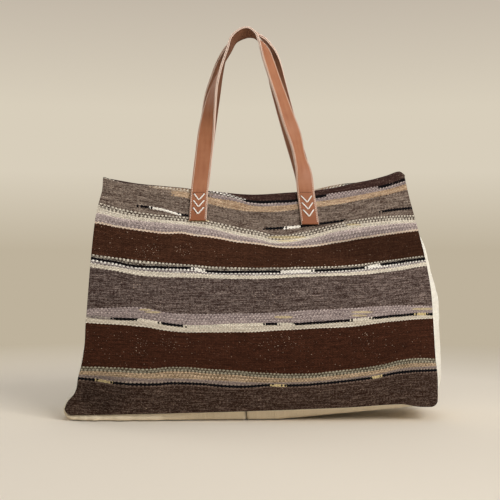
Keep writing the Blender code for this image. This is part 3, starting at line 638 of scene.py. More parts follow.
def mesh_from(name, vertices, faces, uvs=None):
    """Mesh of points and faces, with the place of each point on the flat cloth as its UV map."""
    mesh = bpy.data.meshes.new(name)
    mesh.from_pydata([tuple(v) for v in vertices], [], faces)
    if uvs is not None:
        layer = mesh.uv_layers.new(name="weave")
        corners = np.empty(len(mesh.loops), dtype=np.int32)
        mesh.loops.foreach_get("vertex_index", corners)
        layer.data.foreach_set("uv", np.asarray(uvs, dtype=np.float32)[corners].ravel())
    return mesh


def run_lengths(points):
    """Distance of each point of a polyline from its start, and from its nearer end."""
    steps = np.linalg.norm(np.diff(points, axis=0), axis=1)
    run = np.concatenate(([0.0], np.cumsum(steps)))
    return run, np.minimum(run, run[-1] - run)


def sheet_mesh(name, columns, rows, place, thickness, flat=None, raised=None):
    """Closed sheet round the surface place(column, row), with rounded edges.

    flat gives a point's place on the flat cloth, and raised what is added to the outer face.
    """
    middle = np.array([[place(column, row) for column in columns] for row in rows])
    normals = np.cross(np.gradient(middle, axis=1), np.gradient(middle, axis=0))
    normals /= np.linalg.norm(normals, axis=2, keepdims=True)
    high, wide = middle.shape[:2]
    across_run, across_gap = run_lengths(middle[high // 2])
    along_run, along_gap = run_lengths(middle[:, wide // 2])
    gap = np.minimum(across_gap[None, :], along_gap[:, None]) / (thickness / 2)
    half = thickness / 2 * np.sqrt(1 - (1 - np.clip(gap, 0, 1)) ** 2)
    outer = half.copy()
    if raised is not None:
        outer += np.array([[raised(column, row) for column in columns] for row in rows]) * np.clip(gap, 0, 1)
    border = np.zeros((high, wide), dtype=bool)
    border[[0, -1], :] = True
    border[:, [0, -1]] = True
    front = np.arange(high * wide).reshape(high, wide)
    back = front.copy()
    back[~border] = high * wide + np.arange((~border).sum())
    points = np.concatenate(((middle + normals * outer[..., None]).reshape(-1, 3),
                             (middle - normals * half[..., None])[~border]))
    faces = []
    for numbers, turn in ((front, 1), (back, -1)):
        corners = (numbers[:-1, :-1], numbers[:-1, 1:], numbers[1:, 1:], numbers[1:, :-1])
        quads = np.stack([c.ravel() for c in corners], axis=1)
        faces += [tuple(quad)[::turn] for quad in quads.tolist()]
    if flat is None:
        places = np.stack(np.meshgrid(across_run, along_run), axis=-1)
    else:
        places = np.array([[flat(column, row) for column in columns] for row in rows])
    uvs = np.concatenate((places.reshape(-1, 2), places[~border]))
    return mesh_from(name, points, faces, uvs)


def tube(points, radius, sides, flatten=1.0, up=TUBE_GUIDE):
    """Points and faces of a round-ended tube along a line, and its places as (round, along)."""
    points = [Vector(p) for p in points]
    vertices, faces, places = [], [], []
    run, last = 0.0, len(points) - 1
    for number, point in enumerate(points):
        ahead = (points[min(last, number + 1)] - points[max(0, number - 1)]).normalized()
        right = ahead.cross(up).normalized()
        top = right.cross(ahead)
        if number:
            run += (point - points[number - 1]).length
        for i in range(sides):
            angle = 2 * math.pi * i / sides
            vertices.append(point + right * (radius * math.cos(angle))
                            + top * (radius * flatten * math.sin(angle)))
            places.append((i / sides, run))
    for ring in range(last):
        for i in range(sides):
            here, beside = ring * sides + i, ring * sides + (i + 1) % sides
            faces.append((here, here + sides, beside + sides, beside))
    start, end = len(vertices), len(vertices) + 1
    vertices += [points[0] - (points[1] - points[0]).normalized() * radius * TUBE_CAP,
                 points[-1] + (points[-1] - points[-2]).normalized() * radius * TUBE_CAP]
    places += [(0.5, 0.0), (0.5, run)]
    for i in range(sides):
        beside = (i + 1) % sides
        faces.append((start, i, beside))
        faces.append((end, last * sides + beside, last * sides + i))
    return vertices, faces, places


def joined(name, parts):
    """One mesh of several tubes."""
    vertices, faces, places = [], [], []
    for part_vertices, part_faces, part_places in parts:
        shift = len(vertices)
        vertices += part_vertices
        faces += [tuple(i + shift for i in face) for face in part_faces]
        places += part_places
    return mesh_from(name, vertices, faces, places)


def stitches_along(points, outs):
    """Tubes of thread along a line: each stitch rises from the surface and dips back in."""
    run, _ = run_lengths(np.array(points))
    radius = THREAD_DIAMETER / 2
    parts = []
    for number in range(int(run[-1] / STITCH_PITCH)):
        begin = (number + 0.5) * STITCH_PITCH - STITCH_LENGTH / 2
        stitch = []
        for share, lift in STITCH_SHAPE:
            at = begin + STITCH_LENGTH * share
            i = min(len(points) - 2, max(0, int(np.searchsorted(run, at)) - 1))
            part = (at - run[i]) / (run[i + 1] - run[i])
            base = Vector(points[i]).lerp(Vector(points[i + 1]), part)
            stitch.append(base + Vector(outs[i]) * (lift * radius))
        parts.append(tube(stitch, radius, TUBE_SIDES["thread"], up=Vector(outs[i])))
    return parts


class Number:
    """A number in a material, which plain signs add, take away and multiply."""

    def __init__(self, shader, socket):
        self.shader = shader
        self.socket = socket

    def __add__(self, other):
        return self.shader.math("ADD", self, other)

    def __sub__(self, other):
        return self.shader.math("SUBTRACT", self, other)

    def __mul__(self, other):
        return self.shader.math("MULTIPLY", self, other)

    def __abs__(self):
        return self.shader.math("ABSOLUTE", self)

    __radd__ = __add__


def weighted(weights, values, least=0.0):
    """Sum of several numbers, each by its own weight."""
    return sum((value * weight for value, weight in zip(values, weights)), least)


class Shader:
    """Small helper that builds the nodes of a material or of the world."""

    def __init__(self, owner):
        owner.use_nodes = True
        self.owner = owner
        self.tree = owner.node_tree

    def node(self, kind, inputs=(), **settings):
        """New node with its settings, and its inputs as (name or number, value or socket)."""
        made = self.tree.nodes.new(kind)
        for name, value in settings.items():
            setattr(made, name, value)
        for name, value in inputs:
            self.put(made.inputs[name], value)
        return made

    def put(self, socket, value):
        """Link a number or a socket to an input, or set the input's value."""
        if isinstance(value, Number):
            value = value.socket
        if isinstance(value, bpy.types.NodeSocket):
            self.tree.links.new(value, socket)
        else:
            socket.default_value = value

    def math(self, operation, *values):
        """Result of a Math node."""
        made = self.node("ShaderNodeMath", enumerate(values), operation=operation)
        return Number(self, made.outputs[0])

    def spread(self, value, low, high, to_low=0.0, to_high=1.0):
        """Map a range onto another, clamped."""
        made = self.node("ShaderNodeMapRange", enumerate((value, low, high, to_low, to_high)))
        return Number(self, made.outputs[0])

    def mix(self, share, a, b, blend="MIX"):
        """Mix of two colours."""
        made = self.node("ShaderNodeMix", [(0, share), (6, a), (7, b)], data_type="RGBA", blend_type=blend)
        return made.outputs[2]

    def darken(self, tint, share):
        """Colour multiplied by a number."""
        return self.mix(1.0, tint, self.combine(share, share, share), "MULTIPLY")

    def blend(self, share, a, b):
        """Mix of two numbers."""
        made = self.node("ShaderNodeMix", [(0, share), (2, a), (3, b)], data_type="FLOAT")
        return Number(self, made.outputs[0])

    def ramp(self, value, stops, interpolation="LINEAR"):
        """Colour ramp with the given (place, colour) stops."""
        made = self.node("ShaderNodeValToRGB", [(0, value)])
        made.color_ramp.interpolation = interpolation
        elements = made.color_ramp.elements
        elements[0].position, elements[0].color = stops[0]
        elements[1].position, elements[1].color = stops[-1]
        for place, tint in stops[1:-1]:
            elements.new(place).color = tint
        return made.outputs[0]

    def combine(self, *values):
        """Vector of up to three numbers."""
        return self.node("ShaderNodeCombineXYZ", enumerate(values)).outputs[0]

    def separate(self, vector):
        """The three numbers of a vector."""
        parts = self.node("ShaderNodeSeparateXYZ", [(0, vector)]).outputs
        return [Number(self, part) for part in parts]

    def noise(self, x, y, across, up, detail=2.0, roughness=0.5, low=0.0, high=1.0, seed=0.0):
        """Noise by its scale each way, with the range from low to high widened to 0 to 1."""
        place = self.combine(x * across, y * up, seed)
        made = self.node("ShaderNodeTexNoise", [("Vector", place), ("Scale", 1.0), ("Detail", detail),
                                                ("Roughness", roughness)])
        return self.spread(made.outputs["Fac"], low, high)

    def white(self, x, y, seed=0.0):
        """Random number of a cell."""
        cell = [("Vector", self.combine(x, y, seed))]
        made = self.node("ShaderNodeTexWhiteNoise", cell, noise_dimensions="3D")
        return Number(self, made.outputs["Value"])

    def place(self, kind="Object"):
        """The three numbers of a texture coordinate."""
        return self.separate(self.node("ShaderNodeTexCoord").outputs[kind])

    def flat_place(self):
        """Place on the flat cloth in metres, both moved up so that they stay above 0."""
        x, y, _ = self.separate(self.node("ShaderNodeUVMap", uv_map="weave").outputs[0])
        return x + FLAT_SHIFT, y + FLAT_SHIFT

    def bump(self, height, distance, strength=1.0, under=None):
        """Normal bent by a height from 0 to 1."""
        inputs = [("Height", height), ("Distance", distance), ("Strength", strength)]
        if under is not None:
            inputs.append(("Normal", under))
        return self.node("ShaderNodeBump", inputs).outputs[0]

    def finish(self, **inputs):
        """Set the surface's inputs and give the finished material."""
        surface = self.tree.nodes["Principled BSDF"]
        for name, value in inputs.items():
            self.put(surface.inputs[name.replace("_", " ")], value)
        return self.owner

    def show(self, share, usual, other, output):
        """Show another shader in place of the usual one by a share."""
        mixed = self.node("ShaderNodeMixShader", [(0, share), (1, usual), (2, other)]).outputs[0]
        self.put(self.tree.nodes[output].inputs["Surface"], mixed)


def lowered(edge, drop):
    """Edge of a band moved down by a distance in millimetres."""
    return [(x, z - drop) for x, z in edge]


def band_edges():
    """Lower edges of the bands with one more above the rim and one below the seam."""
    edges = []
    for *_, edge in BANDS[:-1]:
        edges.append(edge if isinstance(edge, list) else lowered(edges[-1], edge))
    above = lowered(edges[0], -HEM_PASSES * WEFT_PITCH * 1000)
    below = lowered(edges[-1], BOTTOM_PASSES * WEFT_PITCH * 1000)
    return [above] + edges + [below]


def passes_in(upper, lower):
    """Passes of the weft between two edges, from the band's mean height."""
    high, low = (np.interp(BAND_PLACES, *zip(*edge)).mean() for edge in (upper, lower))
    return max(2, round(float(high - low) / (WEFT_PITCH * 1000)))


def band_share(x):
    """Place across in millimetres as a share of the range of the band edges."""
    return (x + BAND_REACH) / (2 * BAND_REACH)


def band_place(s, x):
    """The same share for a place across in metres."""
    return s.spread(x, -BAND_REACH / 1000, BAND_REACH / 1000)


def pass_number(s, x, z):
    """Passes of the weft from above the rim down to a place, following the curved bands."""
    share = band_place(s, x)
    edges = band_edges()
    heights = []
    for edge in edges:
        curve = s.node("ShaderNodeFloatCurve", [("Value", share)])
        points = curve.mapping.curves[0].points
        stops = [(band_share(x), height / BAND_HEIGHT) for x, height in edge]
        points[0].location, points[1].location = stops[0], stops[-1]
        for stop in stops[1:-1]:
            points.new(*stop)
        curve.mapping.extend = "HORIZONTAL"
        curve.mapping.update()
        heights.append(Number(s, curve.outputs[0]) * (BAND_HEIGHT / 1000))
    counts = [passes_in(upper, lower) for upper, lower in zip(edges, edges[1:])]
    spans = (s.spread(z, upper, lower, 0.0, float(count))
             for upper, lower, count in zip(heights, heights[1:], counts))
    return sum(spans), counts


def nearest_stitch(s, across, passes):
    """Stitch that a place lies in: its middle, its pass of the weft and its rounded height.

    The stitches of even and odd passes make two interleaved grids.
    """
    found = []
    for shift in (0.0, 1.0):
        column = s.math("ROUND", across * (0.5 / WARP_PITCH) - shift / 2)
        middle = (column + shift / 2) * (2 * WARP_PITCH)
        row = s.math("ROUND", (passes - shift - 0.5) * 0.5) * 2.0 + shift
        away_up = passes - 0.5 - row
        away_across = (across - middle) * (1 / WARP_PITCH) + away_up * STITCH_SLANT
        away_up *= STITCH_NARROWING
        found.append((middle, row, away_across * away_across + away_up * away_up))
    (middle_a, row_a, away_a), (middle_b, row_b, away_b) = found
    nearer = s.math("LESS_THAN", away_b, away_a)
    height = s.math("SQRT", s.spread(s.math("MINIMUM", away_a, away_b), STITCH_REACH, 0.0))
    return s.blend(nearer, middle_a, middle_b), s.blend(nearer, row_a, row_b), height


def patches(s, x, z, places):
    """How deep a place lies in any of several soft oval patches, from 0 to 1."""
    total = 0.0
    for px, pz, half_width, half_height in places:
        away_x = (x - px / 1000) * (1000 / half_width)
        away_z = (z - pz / 1000) * (1000 / half_height)
        total = s.math("MAXIMUM", total, s.spread(away_x * away_x + away_z * away_z, *PATCH_FADE))
    return total


def by_band(s, number, column):
    """Value of one column of the bands, picked by a band's number."""
    values = [band[column] for band in BANDS]
    stops = [(i / len(BANDS), value if isinstance(value, tuple) else (value, value, value, 1.0))
             for i, value in enumerate(values)]
    return s.ramp((number + 0.5) * (1 / len(BANDS)), stops, "CONSTANT")


def is_band(s, number, index):
    """Whether a band's number is the given one."""
    return s.math("COMPARE", number, float(index), 0.5)


def second_colour_share(s, number, row, starts, mottle):
    """Share of a band's second colour in a stitch, by the band's weave."""
    beyond = s.math("SUBTRACT", by_band(s, number, 3), mottle)
    mottled = s.spread(beyond, -MOTTLE_SOFTNESS, MOTTLE_SOFTNESS)
    patterned, pattern = 0.0, 0.0
    for index, (band, start) in enumerate(zip(BANDS, map(float, starts))):
        if band[4] is MOTTLED:
            continue
        repeat, contrast, pale = band[4]
        here = is_band(s, number, index)
        turn = s.math("LESS_THAN", s.math("FLOORED_MODULO", row - start, repeat), 0.5)
        fade = s.spread(row, start, start + FADE_PASSES, pale, 0.0)
        patterned += here
        pattern += here * ((turn - 1 / repeat) * contrast + fade)
    woven = s.spread(pattern + mottle * WOVEN_MOTTLE, *WOVEN_RANGE)
    return s.blend(patterned, mottled, woven)


def band_colours(s, number, x, ragged):
    """The two colours of the band that a place lies in, with the bands that change along x."""
    names = [band[0] for band in BANDS]
    place = band_place(s, x + (ragged - 1.0) * RAGGED_END)
    colours = [by_band(s, number, 1), by_band(s, number, 2)]
    for name, runs in RUNS.items():
        here = is_band(s, number, names.index(name))
        starts = [0.0] + [band_share(end) for end, _ in runs[:-1]]
        for i in (0, 1):
            stops = [(start, pair[i]) for start, (_, pair) in zip(starts, runs)]
            colours[i] = s.mix(here, colours[i], s.ramp(place, stops, "CONSTANT"))
    return colours


def kilim_material():
    """Weft-faced wool: every stitch has one colour, taken from the band that its pass lies in."""
    s = Shader(bpy.data.materials.new("kilim_wool"))
    across, up = s.flat_place()
    x, z = across - FLAT_SHIFT, up - FLAT_SHIFT
    passes, counts = pass_number(s, x, z)
    passes += (s.noise(across, up, *PASS_WANDER) - 0.5) * PASSES_MOVED
    uneven = weighted(WARP_MOVED, (x * x, s.noise(across, 0.0, *WARP_WANDER)), across)
    middle, row, height = nearest_stitch(s, uneven, passes)
    ends = np.cumsum(counts)
    crossing = s.blend(EDGE_FOLLOWING, row, passes - 0.5)
    number = sum(s.math("GREATER_THAN", crossing, float(end) - 0.5) for end in ends[:-1])

    chance, second = s.white(middle, row), s.white(middle, row, SECOND_CHANCE_SEED)
    yarn, streak = s.noise(middle, row, *YARN), s.noise(across, passes, *STREAK)
    fleck = s.noise(across, up, *FLECK)
    mottle = weighted(MOTTLE_WEIGHTS, (chance, yarn, streak, fleck))
    main, other = band_colours(s, number, x, s.math("FLOORED_MODULO", row + chance, 2.0))
    base = s.mix(second_colour_share(s, number, row, [0, *ends], mottle), main, other)

    yellow = s.math("GREATER_THAN", patches(s, x, z, YELLOW_PATCHES), fleck * YELLOW_EDGE)
    base = s.mix(yellow * YELLOW_SHARE, base, YELLOW)
    level = s.spread(patches(s, x, z, HAIRY_PATCHES), 0.0, 1.0, *HAIR_LEVELS)
    hairs = s.spread(s.noise(across, up, *HAIR) - level, 0.0, HAIR_SOFTNESS)
    base = s.mix(hairs * HAIR_SHARE, base, PINK_CREAM)

    # Painted shade: darker in the gaps between the stitches and in the furrows between the warp ribs.
    rib = s.math("COSINE", uneven * (2 * math.pi / WARP_PITCH))
    tones = (second, fleck, s.noise(x, z, *SLOW_TONE), rib, s.noise(x, row, *PASS_TONE))
    shade = weighted(SHADE_WEIGHTS, tones, SHADE_LEAST) * s.spread(height, *SUNK_SHADE)
    # Painted shade: the wool is darkened in the shaded patches, as where it turns from the light.
    shade *= s.spread(patches(s, x, z, SHADED_PATCHES), 0.0, 1.0, 1.0, DARK_PATCH_SHADE)
    relief = weighted(RELIEF_WEIGHTS, (height, s.noise(across, up, *FIBRES), second, fleck))
    return s.finish(Base_Color=s.darken(base, shade), Roughness=0.95,
                    Normal=s.bump(relief, WOOL_RELIEF, 0.9), Specular_IOR_Level=0.04)


def plain_weave(name, light, dark, pitch, by_the_floor=False):
    """Plain woven cotton: threads over and under, with slubs. The canvas also stands on the floor, with
    soil, painted shade and creases there.
    """
    s = Shader(bpy.data.materials.new(name))
    across, up = s.flat_place()
    warp, weft = (s.math("SINE", way * (2 * math.pi / pitch)) for way in (across, up))
    checks = abs((warp - weft) * 0.5)
    slub, slub_up = s.noise(across, up, SLUB_LONG, SLUB_FINE), s.noise(across, up, SLUB_FINE, SLUB_LONG)
    tones = (s.spread(slub, *SLUB_RANGE), s.spread(slub_up, *SLUB_RANGE), s.noise(across, up, *UNEVEN_TONE))
    base = s.mix(weighted(COTTON_WEIGHTS, tones), light, dark)
    creases = None
    if by_the_floor:
        height = s.place()[2]
        # Warmer and darker towards the floor: partly soil, partly painted warm shade near the floor.
        base = s.mix(s.spread(height, *SOIL_AND_SHADE_BAND), base, CANVAS_SOIL_AND_SHADE)
        # Painted contact shadow: the canvas is darkened where it meets the floor.
        base = s.mix(s.spread(height, *CONTACT_SHADOW_BAND), base, CANVAS_CONTACT_SHADOW)
        creases = s.bump(s.noise(across, up, *CREASES), CREASE_DEPTH, 0.8)
    base = s.darken(base, s.spread(checks, *GRAIN_SHADE))
    normal = s.bump(checks + slub * 0.5, COTTON_RELIEF, 0.7, creases)
    return s.finish(Base_Color=base, Roughness=0.88, Normal=normal, Specular_IOR_Level=0.3,
                    Sheen_Weight=0.1)


def leather_material(name, light, deep, finish):
    """Tan leather: fine grain, soft creases, and a pale raw edge where the strap was cut."""
    fine_weight, roughness, specular = finish
    s = Shader(bpy.data.materials.new(name))
    across, along = s.flat_place()
    clouds, wear, fine = (s.noise(across, along, *kind) for kind in (CLOUDS, WEAR, FINE_GRAIN))
    cells = s.node("ShaderNodeTexVoronoi", [("Vector", s.combine(across, along)), ("Scale", PORE_SCALE)])
    pores = s.spread(cells.outputs["Distance"], *PORE_RANGE)
    off_middle = abs(across - FLAT_SHIFT)
    off_stitches = abs(off_middle - STITCH_LINE)
    cut = off_middle + fine * RAW_EDGE_FADE
    edge = s.spread(cut, RAW_EDGE_START, RAW_EDGE_START + RAW_EDGE_FADE)

    tones = (s.spread(clouds, *CLOUD_RANGE), s.spread(wear, *WEAR_RANGE))
    base = s.mix(weighted(CLOUD_WEIGHTS, tones), light, deep)
    # On the sewn ends the deeper colour is partly the leather's own and partly painted shade where they face
    # down.
    for value, limits in ((along - FLAT_SHIFT, DEEPER_AND_SHADED_WHERE_SEWN), (off_stitches, DEEPER_AT_STITCHES),
                          (pores, DEEPER_IN_PORES)):
        base = s.mix(s.spread(value, *limits), base, deep)

    relief = weighted((PORE_WEIGHT, fine_weight, WEAR_WEIGHT), (pores, fine, wear))
    return s.finish(Base_Color=s.mix(edge, base, RAW_EDGE),
                    Roughness=s.spread(clouds, *GLOSS_RANGE, *roughness) + edge * RAW_EDGE_ROUGHER,
                    Normal=s.bump(relief, LEATHER_RELIEF, 0.8), Specular_IOR_Level=specular)


def thread_material(name, tint, turns):
    """Twisted thread or cord: slanting strands with a faint waxed sheen."""
    s = Shader(bpy.data.materials.new(name))
    across, along = s.flat_place()
    strands = abs(s.math("SINE", (across * 2.0 + along * turns) * math.pi))
    base = s.darken(tint, s.spread(strands, 0.0, 0.5, STRAND_SHADE, 1.0))
    return s.finish(Base_Color=base, Roughness=0.7, Normal=s.bump(strands, STRAND_RELIEF, 0.6),
                    Specular_IOR_Level=0.35)


def panel_columns():
    """Places across a panel, closer together round its bottom corners."""
    left, right = 1 - CORNER_RADIUS / LEFT_REACH, 1 - CORNER_RADIUS / RIGHT_REACH
    turns = [math.sin(math.pi / 2 * i / CORNER_STEPS) for i in range(1, CORNER_STEPS + 1)]
    return ([-left - (1 - left) * turn for turn in reversed(turns)] + evenly(-left, right, PANEL_STEPS)
            + [right + (1 - right) * turn for turn in turns])


def panel_place(side, across, row):
    """Point on the middle surface of a kilim panel: its face, the turn at the rim or the hem."""
    kind, amount = row
    if kind == "face":
        x, z = outline(side, across, amount)
        return cloth_point(side, x, z, -KILIM_THICKNESS / 2)
    turned = (1 - math.cos(amount)) / 2 if kind == "turn" else 1.0
    across -= math.copysign(HEM_INSET, across) * turned ** 3 * across * across
    x, z = outline(side, across, 1.0)
    deep = KILIM_THICKNESS / 2 + 2 * FOLD_RADIUS * turned
    if kind == "turn":
        point = cloth_point(side, x, z, -deep)
        return point + Vector((0.0, 0.0, FOLD_RADIUS * math.sin(amount)))
    return cloth_point(side, x, z - amount, -deep)


def panel_flat(side, across, row):
    """Place on the flat panel, which is as high as the bag and goes on over the rim."""
    kind, amount = row
    x, z = outline(side, across, amount if kind == "face" else 1.0)
    if kind == "turn":
        z += FOLD_RADIUS * amount
    if kind == "hem":
        z += FOLD_RADIUS * math.pi + amount
    return -side * x, z


def make_panel(label, material):
    """Striped kilim panel with its rim turned to the inside."""
    side = SIDES[label]
    rows = [("face", share) for share in FACE_ROWS + evenly(FACE_START, 1.0, FACE_STEPS)]
    rows += [("turn", math.pi * i / TURN_STEPS) for i in range(1, TURN_STEPS)]
    rows += [("hem", HEM_DEPTH * share) for share in HEM_ROWS]
    columns = panel_columns()[::int(-side)]
    sewn_sheet(label + "_kilim", label + "_panel", material, "kilim_wool", columns, rows,
               partial(panel_place, side), KILIM_THICKNESS, partial(panel_flat, side))


def make_lining(label, material):
    """Cotton lining of one panel, tucked under its hem."""
    side = SIDES[label]
    deep = CLOTH_DEPTH + LINING_CLEARANCE + LINING_THICKNESS / 2

    def place(across, up):
        x, z = outline(side, across, up * LINING_TOP, LINING_INSET)
        return cloth_point(side, x, z, -deep)

    across_steps, up_steps = LINING_STEPS
    sewn_sheet(label + "_lining_cloth", "lining_" + label, material, "lining_cotton",
               evenly(-side, side, across_steps), evenly(0.0, 1.0, up_steps), place, LINING_THICKNESS)


def gusset_path(direction):
    """Rows of a gusset half from the base up to the rim, as (across, up, share of the corner)."""
    base_steps, corner_steps, side_steps = GUSSET_STEPS
    start = (direction * GUSSET_SEAM_X + CLEARANCE) / reach(direction)
    edge = 1 - CORNER_RADIUS / reach(direction)
    path = [(direction * across, 0.0, 0.0) for across in evenly(start, edge, base_steps)]
    for share in evenly(0.0, 1.0, corner_steps)[1:]:
        across = edge + (1 - edge) * math.sin(math.pi / 2 * share)
        path.append((direction * across, 0.0, share))
    return path + [(direction, up, 1.0) for up in evenly(0.0, GUSSET_TOP, side_steps)[1:]]


def past_flat(away):
    """How far a place lies past the flat of the base, from 0 to 1 at the seam."""
    return max(0.0, away - BASE_FLAT) / (1 - BASE_FLAT)


def base_lift(x):
    """Height of the underside above the floor: the right end stays a little raised."""
    share = max(0.0, x / RIGHT_REACH - BASE_LIFT_START) / (1 - BASE_LIFT_START)
    return BASE_LIFT_RIGHT * share


def gusset_swell(direction, row, x, z):
    """How far the gusset stands out from its two seams at the middle of its width."""
    _, up, corner = row
    swell, profile = SIDE_SWELLS[direction]
    side = swell * through(profile, up) - TOP_FOLD * through(FOLD_PROFILE, up)
    below = z - base_lift(x) - CANVAS_THICKNESS / 2
    return below + (side - below) * corner


def gusset_shape(row, away):
    """Form across the gusset: flat on the floor, rounded at the sides, folded in at the top."""
    across, up, corner = row
    flat = (1 + math.cos(math.pi * min(1.0, past_flat(away)))) / 2
    folded = through(FOLD_PROFILE, up)
    full = smooth(1 - up / SHOULDER_TOP) if across < 0 else 0.0
    soft = 1 - away ** (2 + (SHOULDER_POWER - 2) * full)
    rounded = soft * (1 - folded) + (1 - away) * folded
    return flat + (rounded - flat) * corner


def gusset_width(row, depth, away, foot):
    """Distance of a place from the middle plane: the base lies flat on the floor up to its foot."""
    lying = min(1.0, away / BASE_FLAT) * foot + past_flat(away) * (1 - foot)
    return depth * (lying + (away - lying) * row[2])


def gusset_surface(direction, path, index, width_share, foot):
    """Seam place, outward direction, half depth, distance out, stand and tilt of the canvas."""
    rows = [path[max(0, index - 1)], path[index], path[min(len(path) - 1, index + 1)]]
    seam = [Vector(outline(FRONT, across, up, GUSSET_INSET)) for across, up, _ in rows]
    swells = [gusset_swell(direction, row, *place) for row, place in zip(rows, seam)]
    (x, z), row, swell = seam[1], rows[1], swells[1]
    along = seam[2] - seam[0]
    out = Vector((along.y, -along.x)).normalized() * direction
    depth = cloth_point(BACK, x, z, -CLOTH_DEPTH - SEAM_GAP - CANVAS_THICKNESS / 2).y
    aways = (abs(width_share), abs(width_share) + SLOPE_STEP)
    shape, beside = (gusset_shape(row, away) for away in aways)
    width, wider = (gusset_width(row, depth, away, foot) for away in aways)
    cross_slope = swell * (beside - shape) / (wider - width)
    tilt = math.hypot(1.0, cross_slope, shape * (swells[2] - swells[0]) / along.length)
    stand = swell * shape + canvas_wave(direction, row, width_share, z)
    return seam[1], out, depth, width, stand, tilt


def base_roll(row, away):
    """How far the canvas rolls out between the floor and the bottom seam."""
    across, _, corner = row
    gather = 1 + ROLL_GATHER * noise.noise(Vector((across * GATHER_SCALE, 0.0, 0.0)))
    swell = math.sin(math.pi * min(1.0, past_flat(away) / ROLL_TOP))
    return through(BASE_FOOT, across, 2) * gather * swell * (1 - corner)


def canvas_wave(direction, row, width_share, z):
    """Soft buckles of the canvas at the ends of the bag, none at the seams or on the floor."""
    _, up, corner = row
    fade = smooth((1 - abs(width_share)) / CANVAS_WAVE_EDGE) * corner * smooth(up / CANVAS_WAVE_FOOT)
    place = Vector((width_share * CANVAS_WAVE_ACROSS, direction * 5, z * CANVAS_WAVE_UP))
    return CANVAS_WAVE * fade * ripple(place, *CANVAS_WAVE_FINE)


def gusset_widths(direction):
    """Places across a gusset from front to back, ordered so that it faces out."""
    half = ([0.0, 0.015, 0.04] + evenly(0.08, BASE_FLAT, 14) + evenly(BASE_FLAT, 0.98, 12)[1:]
            + [0.988, 0.994, 0.998, 1.0])
    return [-direction * share for share in half[:0:-1]] + [direction * share for share in half]


def make_gusset(label, material):
    """Half of the canvas gusset: half of the base and one end of the bag."""
    direction = ENDS[label]
    path = gusset_path(direction)

    def place(width_share, index):
        row = path[index]
        waver = noise.noise(Vector((row[0] * WAVER_SCALE, 4.0, math.copysign(2.0, width_share))))
        foot = through(BASE_FOOT, row[0]) * (1 - FOOT_WAVER * max(0.0, waver))
        seam, out, _, width, stand, _ = gusset_surface(direction, path, index, width_share, foot)
        point = seam + out * stand
        width += base_roll(row, abs(width_share))
        return Vector((point.x, math.copysign(width, width_share), point.y))

    sewn_sheet(label + "_canvas", "gusset_" + label, material, "canvas", gusset_widths(direction),
               range(len(path)), place, CANVAS_THICKNESS)


def make_gusset_lining(label, material):
    """Cotton lining inside one half of the gusset."""
    direction = ENDS[label]
    path = gusset_path(direction)
    narrower = 2 * (LINING_CLEARANCE + LINING_THICKNESS) - SEAM_GAP
    inward = CANVAS_THICKNESS / 2 + LINING_CLEARANCE + LINING_THICKNESS / 2

    def place(width_share, index):
        foot = min(BASE_FLAT, through(BASE_FOOT, path[index][0]) * (1 - FOOT_WAVER))
        depth = gusset_surface(direction, path, index, width_share, foot)[2]
        share = width_share * (1 - narrower / depth)
        seam, out, _, width, stand, tilt = gusset_surface(direction, path, index, share, foot)
        point = seam + out * (stand - inward * tilt)
        return Vector((point.x, math.copysign(width, share), point.y))

    sewn_sheet(label + "_lining_cloth", "lining_gusset_" + label, material, "lining_cotton",
               gusset_widths(direction), range(len(path)), place, LINING_THICKNESS)


class Handle:
    """A handle's line: down one sewn end, up and round the loop, and down the other."""

    def __init__(self, label, side, route):
        self.label = label
        self.side = side
        self.rows, run = [(0.0, *route[0])], 0.0
        for before, after in zip(route, route[1:]):
            run += math.hypot(after[0] - before[0], after[1] - before[1])
            self.rows.append((run, *after))
        self.length = run
        self.apex = max(row[2] for row in self.rows)
        self.ends = {
            "left": (route[0][0], -SEWN_LEAN_LEFT, SEWN_LENGTH_LEFT, CHEVRON_DROP_LEFT),
            "right": (route[-1][0], SEWN_LEAN_RIGHT, SEWN_LENGTH_RIGHT, CHEVRON_DROP_RIGHT),
        }

    def middle(self, distance):
        """Point on the middle line of the loop."""
        distance = max(0.0, min(self.length, distance))
        x, height = through(self.rows, distance, 1), through(self.rows, distance, 2)
        root = cloth_depth(self.side, x, STRAP_ROOT_HEIGHT)
        depth = root + (APEX_SETBACK - root) * height / self.apex
        return Vector((x, self.side * depth, STRAP_ROOT_HEIGHT + height))

    def loop_point(self, distance, across, offset):
        """Point on the loop, across and off its middle line."""
        ahead = (self.middle(distance + MEASURE_STEP) - self.middle(distance - MEASURE_STEP)).normalized()
        inward = Vector((ahead.z, 0.0, -ahead.x)).normalized()
        outward = Vector((0.0, self.side, 0.0))
        outward = (outward - ahead * outward.dot(ahead)).normalized()
        twist = math.radians(through(self.rows, distance, 3))
        width = (inward * math.cos(twist) + outward * math.sin(twist)).normalized()
        face = (outward * math.cos(twist) - inward * math.sin(twist)).normalized()
        return self.middle(distance) + width * across + face * offset

    def sewn_point(self, end, across, drop, offset):
        """Point on a sewn end at a drop from the root."""
        root_x, lean, length, _ = self.ends[end]
        x = root_x + lean * drop / length + across
        return cloth_point(self.side, x, STRAP_ROOT_HEIGHT - drop, offset)

    def point(self, distance, across, offset):
        """Point anywhere on the strap: below 0 and beyond the loop's length it is sewn down."""
        if distance < 0:
            return self.sewn_point("left", across, -distance, offset)
        if distance > self.length:
            return self.sewn_point("right", -across, distance - self.length, offset)
        return self.loop_point(distance, across, offset)


def strap_stations(handle):
    """Distances along a strap, closer together on its sewn ends and at its tips."""
    left_steps, right_steps = SEWN_STEPS
    start, end = -SEWN_LENGTH_LEFT, handle.length + SEWN_LENGTH_RIGHT
    tips = [start + step for step in STRAP_TIP] + [end - step for step in STRAP_TIP]
    return sorted(evenly(start, 0.0, left_steps) + evenly(0.0, handle.length, LOOP_STEPS)[1:-1]
                  + evenly(handle.length, end, right_steps) + tips)


